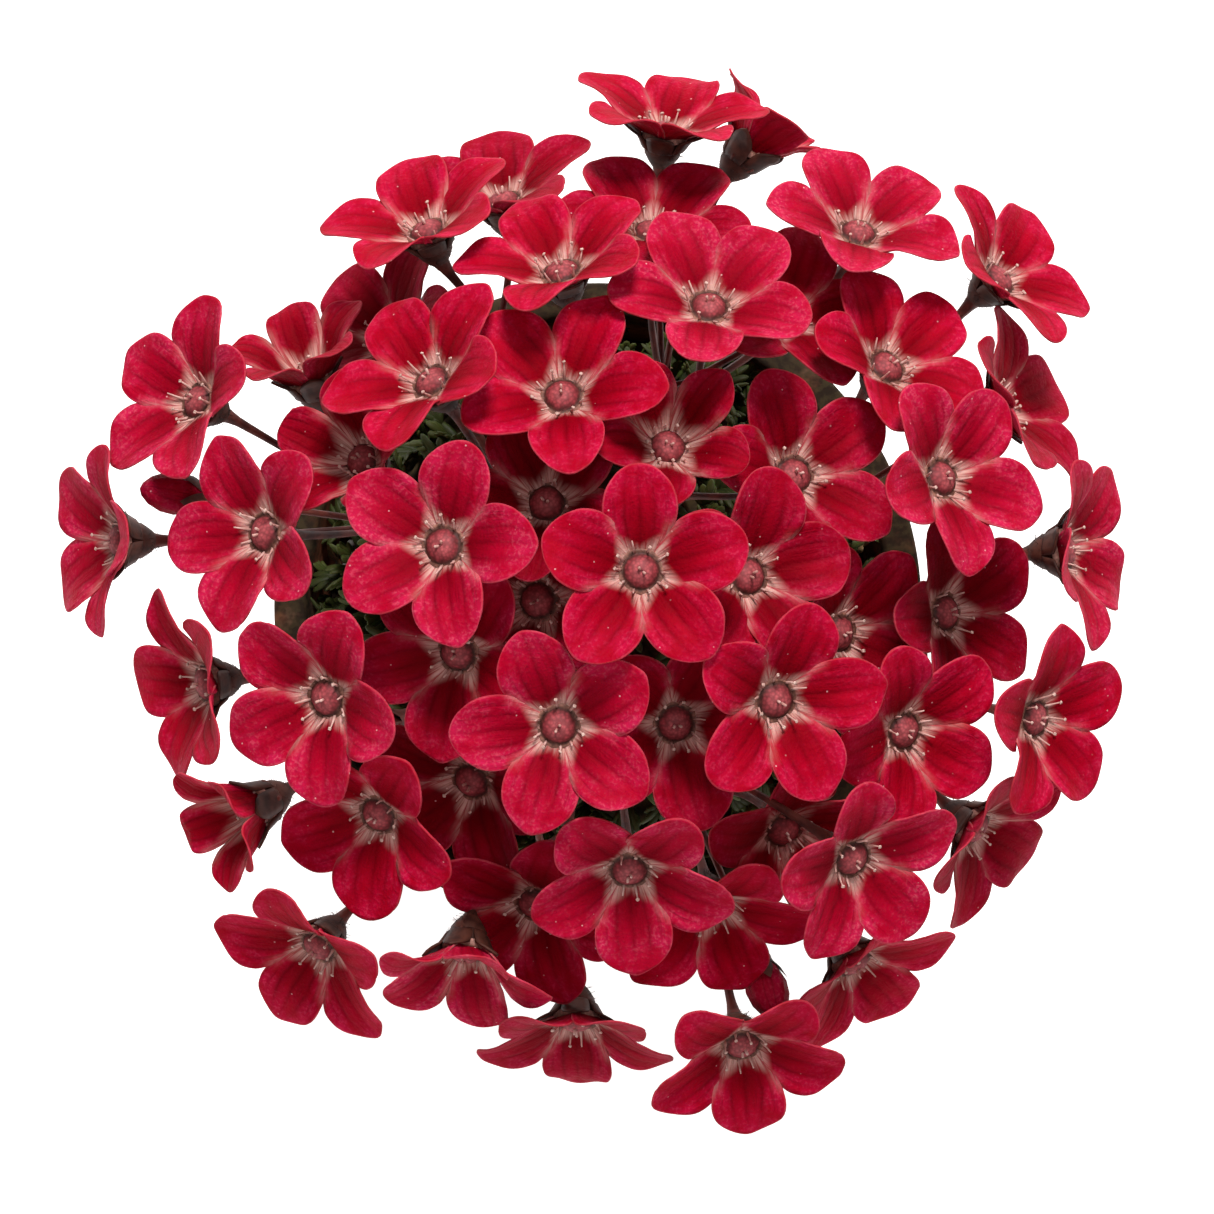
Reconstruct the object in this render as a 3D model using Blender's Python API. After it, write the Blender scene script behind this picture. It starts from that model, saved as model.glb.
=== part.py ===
"""A mossy saxifrage in flower in a small clay pot.

The pot holds compost. A low cushion of cut leaves fills the top of the pot, and branched stems rise
through it to a dome of red blooms. Lengths are in metres, +Z is up, and the origin is the middle of
the pot's foot, on the surface that it stands on.
"""

import itertools
import math

import bmesh
import bpy
from mathutils import Matrix, Vector
from mathutils.bvhtree import BVHTree

MM = 0.001
GAP = 0.35 * MM
SMALLEST = 0.03 * MM
TURN = 2 * math.pi
GOLDEN_ANGLE = math.radians(137.508)

# The pot
POT_HEIGHT = 82 * MM
POT_TOP_RADIUS = 41 * MM
POT_FOOT_RADIUS = 27.5 * MM
POT_WALL = 4.2 * MM
POT_FLOOR = 5.5 * MM
POT_SIDES = 36
BAND_HEIGHT = 19 * MM
BAND_STEP = 2.6 * MM
EDGE_ROUND = 0.9 * MM
DRAIN_RADIUS = 6 * MM

# The compost and the root stock in it
SOIL_TOP = 72 * MM
SOIL_SIDES = 28
ROOT_RADIUS = 3.2 * MM
ROOT_DEPTH = 14 * MM
ROOT_SIDES = 6

# The leafy cushion
CUSHION_TOP = 97 * MM
CUSHION_RADIUS = 32 * MM
CUSHION_SIDES = 20
ROSETTES = 30
ROSETTE_SPREAD = math.radians(84)
FIRST_ROSETTE = 0.6
LEAVES_IN_ROSETTE = 5
LEAF_LENGTH = 13 * MM
LEAF_THICKNESS = 0.7 * MM
LEAF_ROOT = 2.0 * MM
LEAF_CIRCLE = 1.6 * MM
# A leaf that would touch another leaf or a stem tries these rises and turns, in degrees
LEAF_RISES = (0, 14, -14, 26)
LEAF_TURNS = (0, 20, -20, 36, -36)
# The outline of half a leaf, as shares of its length: how far along, how far out
LEAF_OUTLINE = ((0.0, 0.075), (0.5, 0.085), (0.86, 0.4), (0.72, 0.12), (1.0, 0.0))
# Its triangles, by corners counted from the root round the far half outline and back to the root
LEAF_FACES = ((0, 1, 7), (0, 7, 8), (1, 2, 3), (1, 3, 5), (1, 5, 7), (5, 6, 7), (3, 4, 5))

# A bloom, in its own frame: its face looks along +Z, and its origin is the middle of its disc
PETALS = 5
PETAL_TURN = TURN / PETALS
PETAL_THICKNESS = 0.62 * MM
DISC_RADIUS = 2.3 * MM
DISC_RISE = 0.9 * MM
CLAW_HALF_ANGLE = math.radians(32)
# A petal's rows from the disc outwards: distance from the middle, half width, height
PETAL_ROWS = (
    (7.4 * MM, 4.15 * MM, 2.3 * MM),
    (10.2 * MM, 3.0 * MM, 3.2 * MM),
)
PETAL_TIP = (11.5 * MM, 3.4 * MM)

# The calyx under a bloom, in the bloom's frame
CALYX_TOP = -1.3 * MM
SEPAL_NOTCH = (1.9 * MM, -1.25 * MM)
SEPAL_TIP = (4.4 * MM, -0.5 * MM)
CUP = (1.8 * MM, -2.7 * MM)
STALK_TOP = (0.6 * MM, -4.6 * MM)

# A bud: radius and height of each ring above the stalk's end
BUD_RINGS = ((1.5 * MM, 1.6 * MM), (2.0 * MM, 3.6 * MM), (1.4 * MM, 6.0 * MM))
BUD_LENGTH = 7.6 * MM

# The stems
STALK_RADIUS = 0.5 * MM
STALK_SIDES = 5
STALK_STEPS = 3
STEM_RADIUS = 0.8 * MM
STEM_STEPS = 4
FORKS = 16
FORK_REACH = 31 * MM
FORK_SPREAD = math.radians(66)

# The dome of blooms
DOME_TOP = 164 * MM
DOME_CENTRE = Vector((0, 0, 104 * MM))
DOME_CURVE = 48 * MM
# Places on the dome are given as seen from this high above its top
VIEW_HEIGHT = 450 * MM

# Each bloom: place across and up the plan in mm, how far it sits below the dome's surface in mm,
# how far it leans from upright, the direction that it leans towards, and the turn of its first
# petal from that direction, in degrees. Directions run anticlockwise from +X.
BLOOMS = (
    (4.8, 3.6, 0, 4, 40, -22),
    (-4.0, -12.9, 1, 14, 252, 0),
    (19.1, -10.1, 0.5, 25, -28, 36),
    (-16.3, 6.3, 1, 18, 159, -17),
    (16.1, 3.1, 6, 25, 11, 25),
    (-3.6, 22.2, 2, 30, 100, -12),
    (12.0, 31.7, 0, 38, 82, 33),
    (-2.1, 35.4, 0, 48, 105, 10),
    (27.9, 39.6, 0, 48, 75, 36),
    (42.8, 34.7, 0, 57, 39, 18),
    (-18.0, 39.8, 0, 57, 112, -4),
    (7.3, 50.4, 0, 65, 82, -8),
    (16.1, 45.4, 5, 82, 50, -20),
    (-10.0, 42.9, 7, 60, 105, -10),
    (5.9, 42.9, 6, 52, 85, 36),
    (-17.5, 25.3, 1, 47, 128, -6),
    (-25.1, 28.6, 7, 58, 135, 0),
    (-33.7, 24.2, 4, 60, 110, 0),
    (-42.5, 21.7, 0, 46, 155, -9),
    (-35.3, 7.7, 0, 38, 175, 8),
    (-26.5, 15.4, 5, 38, 150, 10),
    (-49.3, 6.9, 0, 63, 180, 36),
    (-41.6, -8.3, 4, 60, 190, -10),
    (-28.7, -9.9, 0, 32, 202, 4),
    (-14.7, -5.0, 7, 22, 205, 0),
    (-23.2, -22.3, 1, 38, 223, 33),
    (-36.1, -19.8, 4, 58, 208, -8),
    (-29.6, -36.3, 0, 52, 232, 8),
    (-17.2, -36.9, 1, 62, 262, 34),
    (-6.5, -28.6, 5, 35, 250, 36),
    (3.5, -25.0, 1.5, 35, 272, 0),
    (9.2, -32.1, 6, 48, 285, 3),
    (16.7, -23.9, 8, 38, -55, 0),
    (27.2, -27.0, 0.5, 38, -42, -4),
    (32.7, -13.4, 3, 35, -22, -20),
    (46.6, -12.1, 0, 46, -12, 33),
    (48.3, 5.8, 1, 65, 2, 36),
    (37.1, -2.4, 5, 42, 3, 36),
    (29.0, -3.0, 9, 33, -5, 30),
    (36.7, 13.5, 0, 38, 18, 36),
    (30.9, 25.3, 2, 42, 48, 3),
    (43.3, 24.2, 6, 60, 25, 0),
    (19.8, 27.3, 9, 40, 55, 20),
    (7.6, 16.8, 7, 25, 68, 38),
    (21.0, 13.8, 6, 32, 35, 2),
    (-5.3, 14.0, 9, 15, 115, 0),
    (-6.2, 0.5, 9, 8, 200, 0),
    (8.4, -11.0, 9, 15, -55, 0),
    (27.4, -38.0, 4, 62, -55, 8),
    (40.3, -23.7, 4, 62, -38, 6),
    (1.0, -44.3, 4, 64, 268, 2),
    (15.5, -46.8, 0, 42, -75, -8),
    (-13.3, -18.7, 9, 28, 230, 0),
)
BUDS = (
    (-41.5, 13.0, 5, 74, 172, 0),
    (17.0, -34.5, 5, 66, -70, 0),
)

# What a bloom that would touch an earlier one may change: how much deeper it may sit and how far it
# may shift on the plan, in mm, and how far it may turn on its stalk and lean more or less, in degrees
SINKS = (0, 1, -1, 2, 3, 4, 5, 6.5, 8, 10)
TURNS = (0, 12, -12, 24, -24, 36)
LEANS = (0, 6, -6)
SHIFTS = ((0, 0), (1.6, 0), (-1.6, 0), (0, 1.6), (0, -1.6), (3.2, 0), (-3.2, 0), (0, 3.2), (0, -3.2))
CLOSINGS = (0, 0.12, 0.24, 0.34)
# The sideways bows that a stalk may take to pass between lower petals, and how straight it starts
BOWS = ((0, 0), (1, 0), (-0.5, 0.87), (-0.5, -0.87), (0.5, 0.87), (0.5, -0.87), (-1, 0))
BOW = 5.5 * MM
STALK_LEADS = (9 * MM, 5 * MM)
STALK_FORKS = 3


def clear_scene():
    for obj in list(bpy.data.objects):
        bpy.data.objects.remove(obj, do_unlink=True)


def material(name, colour, roughness):
    made = bpy.data.materials.new(name)
    made.use_nodes = True
    shader = made.node_tree.nodes["Principled BSDF"]
    shader.inputs["Base Color"].default_value = (*colour, 1)
    shader.inputs["Roughness"].default_value = roughness
    shader.inputs["Metallic"].default_value = 0
    return made


def add_object(name, points, faces, finish=None):
    mesh = bpy.data.meshes.new(name)
    mesh.from_pydata([tuple(p) for p in points], [], faces)
    mesh.validate()
    obj = bpy.data.objects.new(name, mesh)
    bpy.context.scene.collection.objects.link(obj)
    if finish is not None:
        mesh.materials.append(finish)
    return obj


def smooth(obj, degrees):
    obj.data.shade_smooth()
    obj.data.set_sharp_from_angle(angle=math.radians(degrees))


def turned(name, profile, sides, finish):
    """A solid turned about Z from a closed profile of (radius, height), going up its outer side."""
    points = []
    starts = []
    for radius, height in profile:
        starts.append(len(points))
        if radius == 0:
            points.append((0, 0, height))
            continue
        for i in range(sides):
            angle = TURN * i / sides
            points.append((radius * math.cos(angle), radius * math.sin(angle), height))
    faces = []
    for n, (radius, _) in enumerate(profile):
        other = (n + 1) % len(profile)
        if radius == 0 and profile[other][0] == 0:
            continue
        for i in range(sides):
            j = (i + 1) % sides
            low = [starts[n]] if radius == 0 else [starts[n] + i, starts[n] + j]
            high = [starts[other]] if profile[other][0] == 0 else [starts[other] + j, starts[other] + i]
            faces.append(low + high)
    obj = add_object(name, points, faces, finish)
    smooth(obj, 35)
    return obj


def joined(base, others, operation="UNION"):
    """The base object with the others joined on or cut out, by one Boolean; the others are removed."""
    group = bpy.data.collections.new(base.name + "_parts")
    bpy.context.scene.collection.children.link(group)
    for obj in others:
        bpy.context.scene.collection.objects.unlink(obj)
        group.objects.link(obj)
    boolean = base.modifiers.new("join", "BOOLEAN")
    boolean.operation = operation
    boolean.solver = "MANIFOLD"
    boolean.operand_type = "COLLECTION"
    boolean.collection = group
    graph = bpy.context.evaluated_depsgraph_get()
    mesh = bpy.data.meshes.new_from_object(base.evaluated_get(graph))
    base.modifiers.clear()
    base.data = mesh
    for obj in others:
        bpy.data.objects.remove(obj, do_unlink=True)
    bpy.data.collections.remove(group)
    return base


def bodies_of(work):
    """The faces of each body of a mesh, the largest body last. Bodies that only touch stay apart."""
    left = set(work.faces)
    bodies = []
    while left:
        reached = [left.pop()]
        body = []
        while reached:
            face = reached.pop()
            body.append(face)
            for edge in face.edges:
                if len(edge.link_faces) != 2:
                    continue
                for other in edge.link_faces:
                    if other in left:
                        left.remove(other)
                        reached.append(other)
        bodies.append(body)
    bodies.sort(key=len)
    return bodies


def keep_largest_body(obj):
    """Merges the corners that nearly meet, then drops the loose scraps that a cut leaves."""
    work = bmesh.new()
    work.from_mesh(obj.data)
    bmesh.ops.remove_doubles(work, verts=list(work.verts), dist=SMALLEST)
    bmesh.ops.dissolve_degenerate(work, edges=list(work.edges), dist=SMALLEST)
    bmesh.ops.triangulate(work, faces=list(work.faces))
    scraps = [face for body in bodies_of(work)[:-1] for face in body]
    bmesh.ops.delete(work, geom=scraps, context="FACES")
    work.to_mesh(obj.data)
    work.free()


def make_pot():
    """A clay pot with a band round its top and a drain hole in its floor."""
    band_bottom = POT_HEIGHT - BAND_HEIGHT
    slope = (POT_TOP_RADIUS - BAND_STEP - POT_FOOT_RADIUS) / POT_HEIGHT
    wall_at_band = POT_FOOT_RADIUS + slope * band_bottom
    profile = (
        (DRAIN_RADIUS, 0),
        (POT_FOOT_RADIUS - EDGE_ROUND, 0),
        (POT_FOOT_RADIUS, EDGE_ROUND),
        (wall_at_band, band_bottom - EDGE_ROUND),
        (wall_at_band + BAND_STEP - EDGE_ROUND, band_bottom),
        (wall_at_band + BAND_STEP, band_bottom + EDGE_ROUND),
        (POT_TOP_RADIUS, POT_HEIGHT - EDGE_ROUND),
        (POT_TOP_RADIUS - EDGE_ROUND, POT_HEIGHT),
        (POT_TOP_RADIUS - POT_WALL + EDGE_ROUND, POT_HEIGHT),
        (POT_TOP_RADIUS - POT_WALL, POT_HEIGHT - EDGE_ROUND),
        (pot_inside(POT_FLOOR + EDGE_ROUND), POT_FLOOR + EDGE_ROUND),
        (pot_inside(POT_FLOOR) - EDGE_ROUND, POT_FLOOR),
        (DRAIN_RADIUS, POT_FLOOR),
    )
    clay = material("terracotta", (0.55, 0.22, 0.11), 0.85)
    return turned("pot", profile, POT_SIDES, clay)


def pot_inside(height):
    """The radius of the pot's inner wall at a height."""
    top = POT_TOP_RADIUS - POT_WALL
    foot = POT_FOOT_RADIUS - POT_WALL
    return foot + (top - foot) * height / POT_HEIGHT


def make_soil():
    """Compost with a low mound, and a plain hole for the root stock."""
    bottom = POT_FLOOR + GAP
    hole = ROOT_RADIUS + GAP
    hole_floor = SOIL_TOP - ROOT_DEPTH - GAP
    profile = (
        (0, bottom),
        (pot_inside(bottom) - 2 * GAP - EDGE_ROUND, bottom),
        (pot_inside(SOIL_TOP) - 2 * GAP, SOIL_TOP - 2 * MM),
        (pot_inside(SOIL_TOP) - 8 * MM, SOIL_TOP),
        (hole, SOIL_TOP),
        (hole, hole_floor),
        (0, hole_floor),
    )
    earth = material("compost", (0.045, 0.03, 0.02), 0.95)
    return turned("soil", profile, SOIL_SIDES, earth)


def petal_point(azimuth, along, across, height):
    return Vector(
        (
            along * math.cos(azimuth) - across * math.sin(azimuth),
            along * math.sin(azimuth) + across * math.cos(azimuth),
            height,
        )
    )


def corolla_sheet(closed=0.0, swell=0.0):
    """The upper surface of the five petals and the disc, as points and triangles. closed is 0 for a
    wide open bloom, and more for one whose petals stand closer together and steeper."""
    points = [Vector((0, 0, DISC_RISE))]
    for k in range(PETALS):
        for side in (-1, 1):
            angle = k * PETAL_TURN + side * CLAW_HALF_ANGLE
            points.append(Vector((DISC_RADIUS * math.cos(angle), DISC_RADIUS * math.sin(angle), 0)))
    faces = []
    for k in range(PETALS):
        right = 1 + 2 * k
        left = right + 1
        following = 1 + 2 * ((k + 1) % PETALS)
        faces.append((0, right, left))
        faces.append((0, left, following))
        narrow = 1 - closed
        steep = 1 + 2.2 * closed
        for along, across, height in PETAL_ROWS:
            nearer = (right, left)
            right = len(points)
            left = right + 1
            width = narrow * across + swell
            points.append(petal_point(k * PETAL_TURN, narrow * along, -width, steep * height))
            points.append(petal_point(k * PETAL_TURN, narrow * along, width, steep * height))
            faces.append((nearer[0], right, left))
            faces.append((nearer[0], left, nearer[1]))
        tip = len(points)
        along, height = PETAL_TIP
        points.append(petal_point(k * PETAL_TURN, narrow * along + swell, 0, steep * height))
        faces.append((right, tip, left))
    return points, faces


def corolla_mesh(closed, red):
    """One bloom's petals and disc as a thin closed solid."""
    points, faces = corolla_sheet(closed)
    sheet = add_object("corolla", points, faces, red)
    solidify = sheet.modifiers.new("thickness", "SOLIDIFY")
    solidify.thickness = PETAL_THICKNESS
    solidify.offset = -1
    solidify.use_even_offset = True
    graph = bpy.context.evaluated_depsgraph_get()
    mesh = bpy.data.meshes.new_from_object(sheet.evaluated_get(graph))
    bpy.data.objects.remove(sheet, do_unlink=True)
    mesh.shade_smooth()
    mesh.set_sharp_from_angle(angle=math.radians(40))
    return mesh


def bloom_frame(bloom, deeper=0.0, more_turn=0.0, more_lean=0.0, shift=(0, 0)):
    """The matrix that carries a bloom from its own frame to its place on the dome."""
    across, up, sunk, lean, towards, turn = bloom
    seen = Vector((across + shift[0], up + shift[1])) * MM
    depth = 0.0
    for _ in range(8):
        plan = seen * (1 + depth / VIEW_HEIGHT)
        depth = plan.length_squared / (2 * DOME_CURVE) + (sunk + deeper) * MM
    place = Matrix.Translation((plan.x, plan.y, DOME_TOP - depth))
    swing = Matrix.Rotation(math.radians(towards), 4, "Z")
    tilt = Matrix.Rotation(math.radians(lean + more_lean), 4, "Y")
    spin = Matrix.Rotation(math.radians(turn + more_turn), 4, "Z")
    return place @ swing @ tilt @ spin


def fork_point(n):
    """The point where stem n forks, on an inner dome, in a sunflower's order."""
    slant = FORK_SPREAD * math.sqrt((n + 0.5) / FORKS)
    azimuth = n * GOLDEN_ANGLE
    flat = math.sin(slant)
    out = Vector((flat * math.cos(azimuth), flat * math.sin(azimuth), math.cos(slant)))
    return DOME_CENTRE + FORK_REACH * out


def forks_near(point):
    """The numbers of the forks, the one that lies most nearly below a point first."""
    out = (point - DOME_CENTRE).normalized()
    return sorted(range(FORKS), key=lambda n: -out.dot((fork_point(n) - DOME_CENTRE).normalized()))


def bezier(controls, share):
    """A point on the Bezier curve with these control points."""
    points = [Vector(c) for c in controls]
    while len(points) > 1:
        points = [a.lerp(b, share) for a, b in zip(points, points[1:])]
    return points[0]


def stem_route(n):
    """The points of stem n, from the root stock up to its fork."""
    fork = fork_point(n)
    foot = Vector((0.06 * fork.x, 0.06 * fork.y, SOIL_TOP + 2 * MM))
    bend = Vector((0.85 * fork.x, 0.85 * fork.y, SOIL_TOP + 0.35 * (fork.z - SOIL_TOP)))
    return [bezier((foot, bend, fork), i / STEM_STEPS) for i in range(STEM_STEPS + 1)]


def stalk_choices(frame):
    """The ways that a bloom's stalk may take: a fork, a bow to one side and a straight lead each."""
    forks = forks_near(frame.translation)[:STALK_FORKS]
    return [(fork, bow, lead) for fork in forks for lead in STALK_LEADS for bow in BOWS]


def stalk_route(frame, start_height, choice):
    """The points of a bloom's stalk, from under its calyx down into the fork."""
    number, bow, lead = choice
    top = frame @ Vector((0, 0, start_height))
    turn = frame.to_3x3()
    axis = (turn @ Vector((0, 0, 1))).normalized()
    fork = fork_point(number)
    rising = (fork - stem_route(number)[-2]).normalized()
    aside = (turn @ Vector((bow[0], bow[1], 0))) * BOW
    controls = (
        top,
        top - lead * axis + aside,
        fork + 6 * MM * rising + 0.5 * aside,
        fork - 1.2 * MM * rising,
    )
    return [bezier(controls, i / STALK_STEPS) for i in range(STALK_STEPS + 1)]


def rings_along(route, radii, sides, across):
    """Rings of points round a route. across is a direction that the first point of a ring lies in."""
    rings = []
    for i, point in enumerate(route):
        ahead = route[min(i + 1, len(route) - 1)] - route[max(i - 1, 0)]
        ahead.normalize()
        across = (across - across.dot(ahead) * ahead).normalized()
        other = ahead.cross(across)
        ring = []
        for k in range(sides):
            angle = TURN * k / sides
            ring.append(point + radii[i] * (math.cos(angle) * across + math.sin(angle) * other))
        rings.append(ring)
    return rings


def lofted(rings):
    """Points and triangles of the skin through equal rings, capped at both ends, facing out when the
    rings turn anticlockwise about the way they run."""
    sides = len(rings[0])
    points = [p for ring in rings for p in ring]
    faces = []
    for n in range(len(rings) - 1):
        for k in range(sides):
            a = n * sides + k
            b = n * sides + (k + 1) % sides
            faces.append((a, b, b + sides))
            faces.append((a, b + sides, a + sides))
    faces.append(tuple(reversed(range(sides))))
    last = len(points) - sides
    faces.append(tuple(range(last, last + sides)))
    return points, faces


def tube(name, route, radii, sides):
    across = Vector((1, 0.2, 0.1))
    points, faces = lofted(rings_along(route, radii, sides, across))
    return add_object(name, points, faces)


def stalk_shape(frame, choice, swell=0.0):
    """Points and triangles of a bloom's calyx with its five sepals and its stalk, in one skin."""
    route = stalk_route(frame, STALK_TOP[1], choice)
    first_sepal = Vector((math.cos(PETAL_TURN / 2), math.sin(PETAL_TURN / 2), 0))
    sepal_way = (frame.to_3x3() @ first_sepal).normalized()
    radii = [STALK_TOP[0] + swell] + [STALK_RADIUS + swell] * STALK_STEPS
    rings = rings_along(route, radii, STALK_SIDES, sepal_way)
    # The rings run down the stalk, so they turn clockwise seen from the bloom
    points = [p for ring in rings for p in ring]
    faces = []
    for n in range(STALK_STEPS):
        for k in range(STALK_SIDES):
            a = n * STALK_SIDES + k
            b = n * STALK_SIDES + (k + 1) % STALK_SIDES
            faces.append((a, b, b + STALK_SIDES))
            faces.append((a, b + STALK_SIDES, a + STALK_SIDES))
    last = STALK_STEPS * STALK_SIDES
    faces.append(tuple(range(last, last + STALK_SIDES)))
    cup = len(points)
    for k in range(PETALS):
        angle = PETAL_TURN / 2 - k * PETAL_TURN
        cup_radius = CUP[0] + swell
        points.append(frame @ Vector((cup_radius * math.cos(angle), cup_radius * math.sin(angle), CUP[1])))
    star = len(points)
    for k in range(PETALS):
        tip_angle = PETAL_TURN / 2 - k * PETAL_TURN
        notch_angle = tip_angle - PETAL_TURN / 2
        for (radius, height), angle in ((SEPAL_TIP, tip_angle), (SEPAL_NOTCH, notch_angle)):
            points.append(frame @ Vector((radius * math.cos(angle), radius * math.sin(angle), height)))
    middle = len(points)
    points.append(frame @ Vector((0, 0, CALYX_TOP)))
    for k in range(PETALS):
        following = (k + 1) % PETALS
        tip = star + 2 * k
        notch = tip + 1
        next_tip = star + 2 * following
        faces.append((cup + k, cup + following, following))
        faces.append((cup + k, following, k))
        faces.append((tip, notch, cup + k))
        faces.append((notch, cup + following, cup + k))
        faces.append((notch, next_tip, cup + following))
        faces.append((middle, notch, tip))
        faces.append((middle, next_tip, notch))
    return points, faces


def bud_shape(frame, choice):
    """Points and triangles of a closed bud on its stalk."""
    route = stalk_route(frame, 0, choice)
    route.reverse()
    across = (frame.to_3x3() @ Vector((1, 0, 0))).normalized()
    radii = [STALK_RADIUS] * STALK_STEPS + [STALK_TOP[0]]
    for radius, height in BUD_RINGS:
        route.append(frame @ Vector((0, 0, height)))
        radii.append(radius)
    route.append(frame @ Vector((0, 0, BUD_LENGTH)))
    radii.append(0.35 * MM)
    return lofted(rings_along(route, radii, STALK_SIDES, across))


def tree_of(frame, points, faces):
    return BVHTree.FromPolygons([frame @ p for p in points], faces)


def petal_shell(closed, lift, drop, swell):
    """Both faces of a bloom's petals, moved apart and widened, to test for touching."""
    points, faces = corolla_sheet(closed, swell)
    count = len(points)
    both = [p + Vector((0, 0, lift)) for p in points]
    both += [p - Vector((0, 0, PETAL_THICKNESS + drop)) for p in points]
    return both, faces + [tuple(i + count for i in reversed(face)) for face in faces]


class Placed:
    """A bloom in its place, with the ways that are still open to its stalk."""

    def __init__(self, frame, closed, ways):
        self.frame = frame
        self.closed = closed
        self.place = frame.translation
        self.petals = tree_of(frame, *petal_shell(closed, 0, 0, 0))
        self.roomy = tree_of(frame, *petal_shell(closed, GAP, GAP, GAP))
        self.ways = ways


def near(one, other, reach):
    return (one - other).length < reach


def way_tree(frame, choice, shape=stalk_shape):
    return tree_of(Matrix.Identity(4), *shape(frame, choice))


def fits(frame, shell, placed, reach):
    """The blooms whose stalks lose ways when a bloom comes here, with the ways they keep, or None when
    it would touch petals or close the last way of a stalk."""
    own = tree_of(frame, *shell)
    close = [other for other in placed if near(other.place, frame.translation, reach)]
    if any(own.overlap(other.petals) for other in close):
        return None
    kept = []
    for other in placed:
        if not near(other.place, frame.translation, 2.2 * reach):
            continue
        ways = [way for way in other.ways if not own.overlap(way[1])]
        if not ways:
            return None
        if len(ways) < len(other.ways):
            kept.append((other, ways))
    return kept


def open_ways(frame, placed, shape=stalk_shape):
    """The ways that a new bloom's stalk can take clear of the petals that are already in place."""
    ways = []
    for choice in stalk_choices(frame):
        tree = way_tree(frame, choice, shape)
        if not any(tree.overlap(other.roomy) for other in placed):
            ways.append((choice, tree))
    return ways


def change_cost(change):
    sink, turn, lean, shift, closed = change
    return abs(sink) + abs(turn) / 12 + abs(lean) / 6 + (abs(shift[0]) + abs(shift[1])) / 1.4 + 12 * closed


def arranged_blooms():
    """Every bloom in its place with its stalk's way. Each one in turn, the highest first, sits where
    the table says or as near that as leaves it clear of the others' petals and stalks."""
    changes = list(itertools.product(SINKS, TURNS, LEANS, SHIFTS, CLOSINGS))
    changes.sort(key=change_cost)
    shells = {closed: petal_shell(closed, GAP, GAP, GAP) for closed in CLOSINGS}
    reach = 2 * (PETAL_TIP[0] + GAP)
    placed = []
    order = sorted(range(len(BLOOMS)), key=lambda i: BLOOMS[i][2])
    for n in order:
        for *change, closed in changes:
            frame = bloom_frame(BLOOMS[n], *change)
            kept = fits(frame, shells[closed], placed, reach)
            if kept is None:
                continue
            ways = open_ways(frame, placed)
            if ways:
                break
        else:
            raise ValueError(f"row {n + 1} of the blooms has no clear place")
        for other, left in kept:
            other.ways = left
        placed.append(Placed(frame, closed, ways))
    buds = []
    for bud in BUDS:
        for *change, _ in changes:
            frame = bloom_frame(bud, *change)
            ways = open_ways(frame, placed, bud_shape)
            if ways:
                buds.append((frame, ways[0][0]))
                break
        else:
            raise ValueError("a bud has no clear place")
    return [(bloom.frame, bloom.closed, bloom.ways[0][0]) for bloom in placed], buds


def make_blooms(blooms):
    red = material("petals", (0.5, 0.01, 0.035), 0.55)
    for n, (frame, closed, _) in enumerate(blooms):
        bloom = bpy.data.objects.new(f"bloom_{n + 1:02d}", corolla_mesh(closed, red))
        bloom.matrix_world = frame
        bpy.context.scene.collection.objects.link(bloom)


def root_stock(name, swell=0.0):
    """The short woody crown in the compost that all the stems rise from."""
    top = SOIL_TOP + 4 * MM + swell
    route = [Vector((0, 0, z)) for z in (SOIL_TOP - ROOT_DEPTH - swell, SOIL_TOP, top)]
    radii = [0.6 * ROOT_RADIUS, ROOT_RADIUS + swell, ROOT_RADIUS + swell]
    return tube(name, route, radii, ROOT_SIDES)


def stem_tubes(name, used, swell=0.0):
    """The main stems. They thin towards their forks."""
    tubes = []
    for n in used:
        radii = [STEM_RADIUS * (1 - 0.2 * i / STEM_STEPS) + swell for i in range(STEM_STEPS + 1)]
        tubes.append(tube(f"{name}_{n}", stem_route(n), radii, STALK_SIDES))
    return tubes


def make_stems(blooms, buds):
    """Root stock, stems, stalks, calyces and buds, grown together as one body."""
    used = sorted({way[-1][0] for way in blooms + buds})
    stems = root_stock("flower_stems")
    stems.data.materials.append(material("stems", (0.1, 0.035, 0.025), 0.7))
    parts = stem_tubes("stem", used)
    for n, (frame, _, choice) in enumerate(blooms):
        parts.append(add_object(f"stalk_{n}", *stalk_shape(frame, choice)))
    for n, (frame, choice) in enumerate(buds):
        parts.append(add_object(f"bud_{n}", *bud_shape(frame, choice)))
    joined(stems, parts)
    smooth(stems, 50)
    return used


def cushion_point(slant, azimuth):
    """A point on the cushion's core and the way out of it there. slant is 0 at its top."""
    rise = CUSHION_TOP - SOIL_TOP
    flat = Vector((math.cos(azimuth), math.sin(azimuth), 0))
    point = CUSHION_RADIUS * math.sin(slant) * flat
    point.z = SOIL_TOP + rise * math.cos(slant)
    out = (math.sin(slant) / CUSHION_RADIUS) * flat
    out.z = math.cos(slant) / rise
    return point, out.normalized()


def leaf(name, foot, way, face, length):
    """One cut leaf with three pointed lobes: way is where it points, and face what its blade faces."""
    side = face.cross(way).normalized()
    half = list(LEAF_OUTLINE)
    outline = half + [(along, -across) for along, across in reversed(half[:-1])]
    outline.reverse()
    points = []
    for lift in (0.5 * LEAF_THICKNESS, -0.5 * LEAF_THICKNESS):
        for along, across in outline:
            arch = 0.12 * length * math.sin(math.pi * along)
            points.append(foot + way * along * length + side * across * length + face * (arch + lift))
    count = len(outline)
    faces = list(LEAF_FACES)
    faces += [tuple(i + count for i in reversed(f)) for f in LEAF_FACES]
    for i in range(count):
        j = (i + 1) % count
        faces.append((j, i, i + count))
        faces.append((j, i + count, j + count))
    return add_object(name, points, faces)


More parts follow.
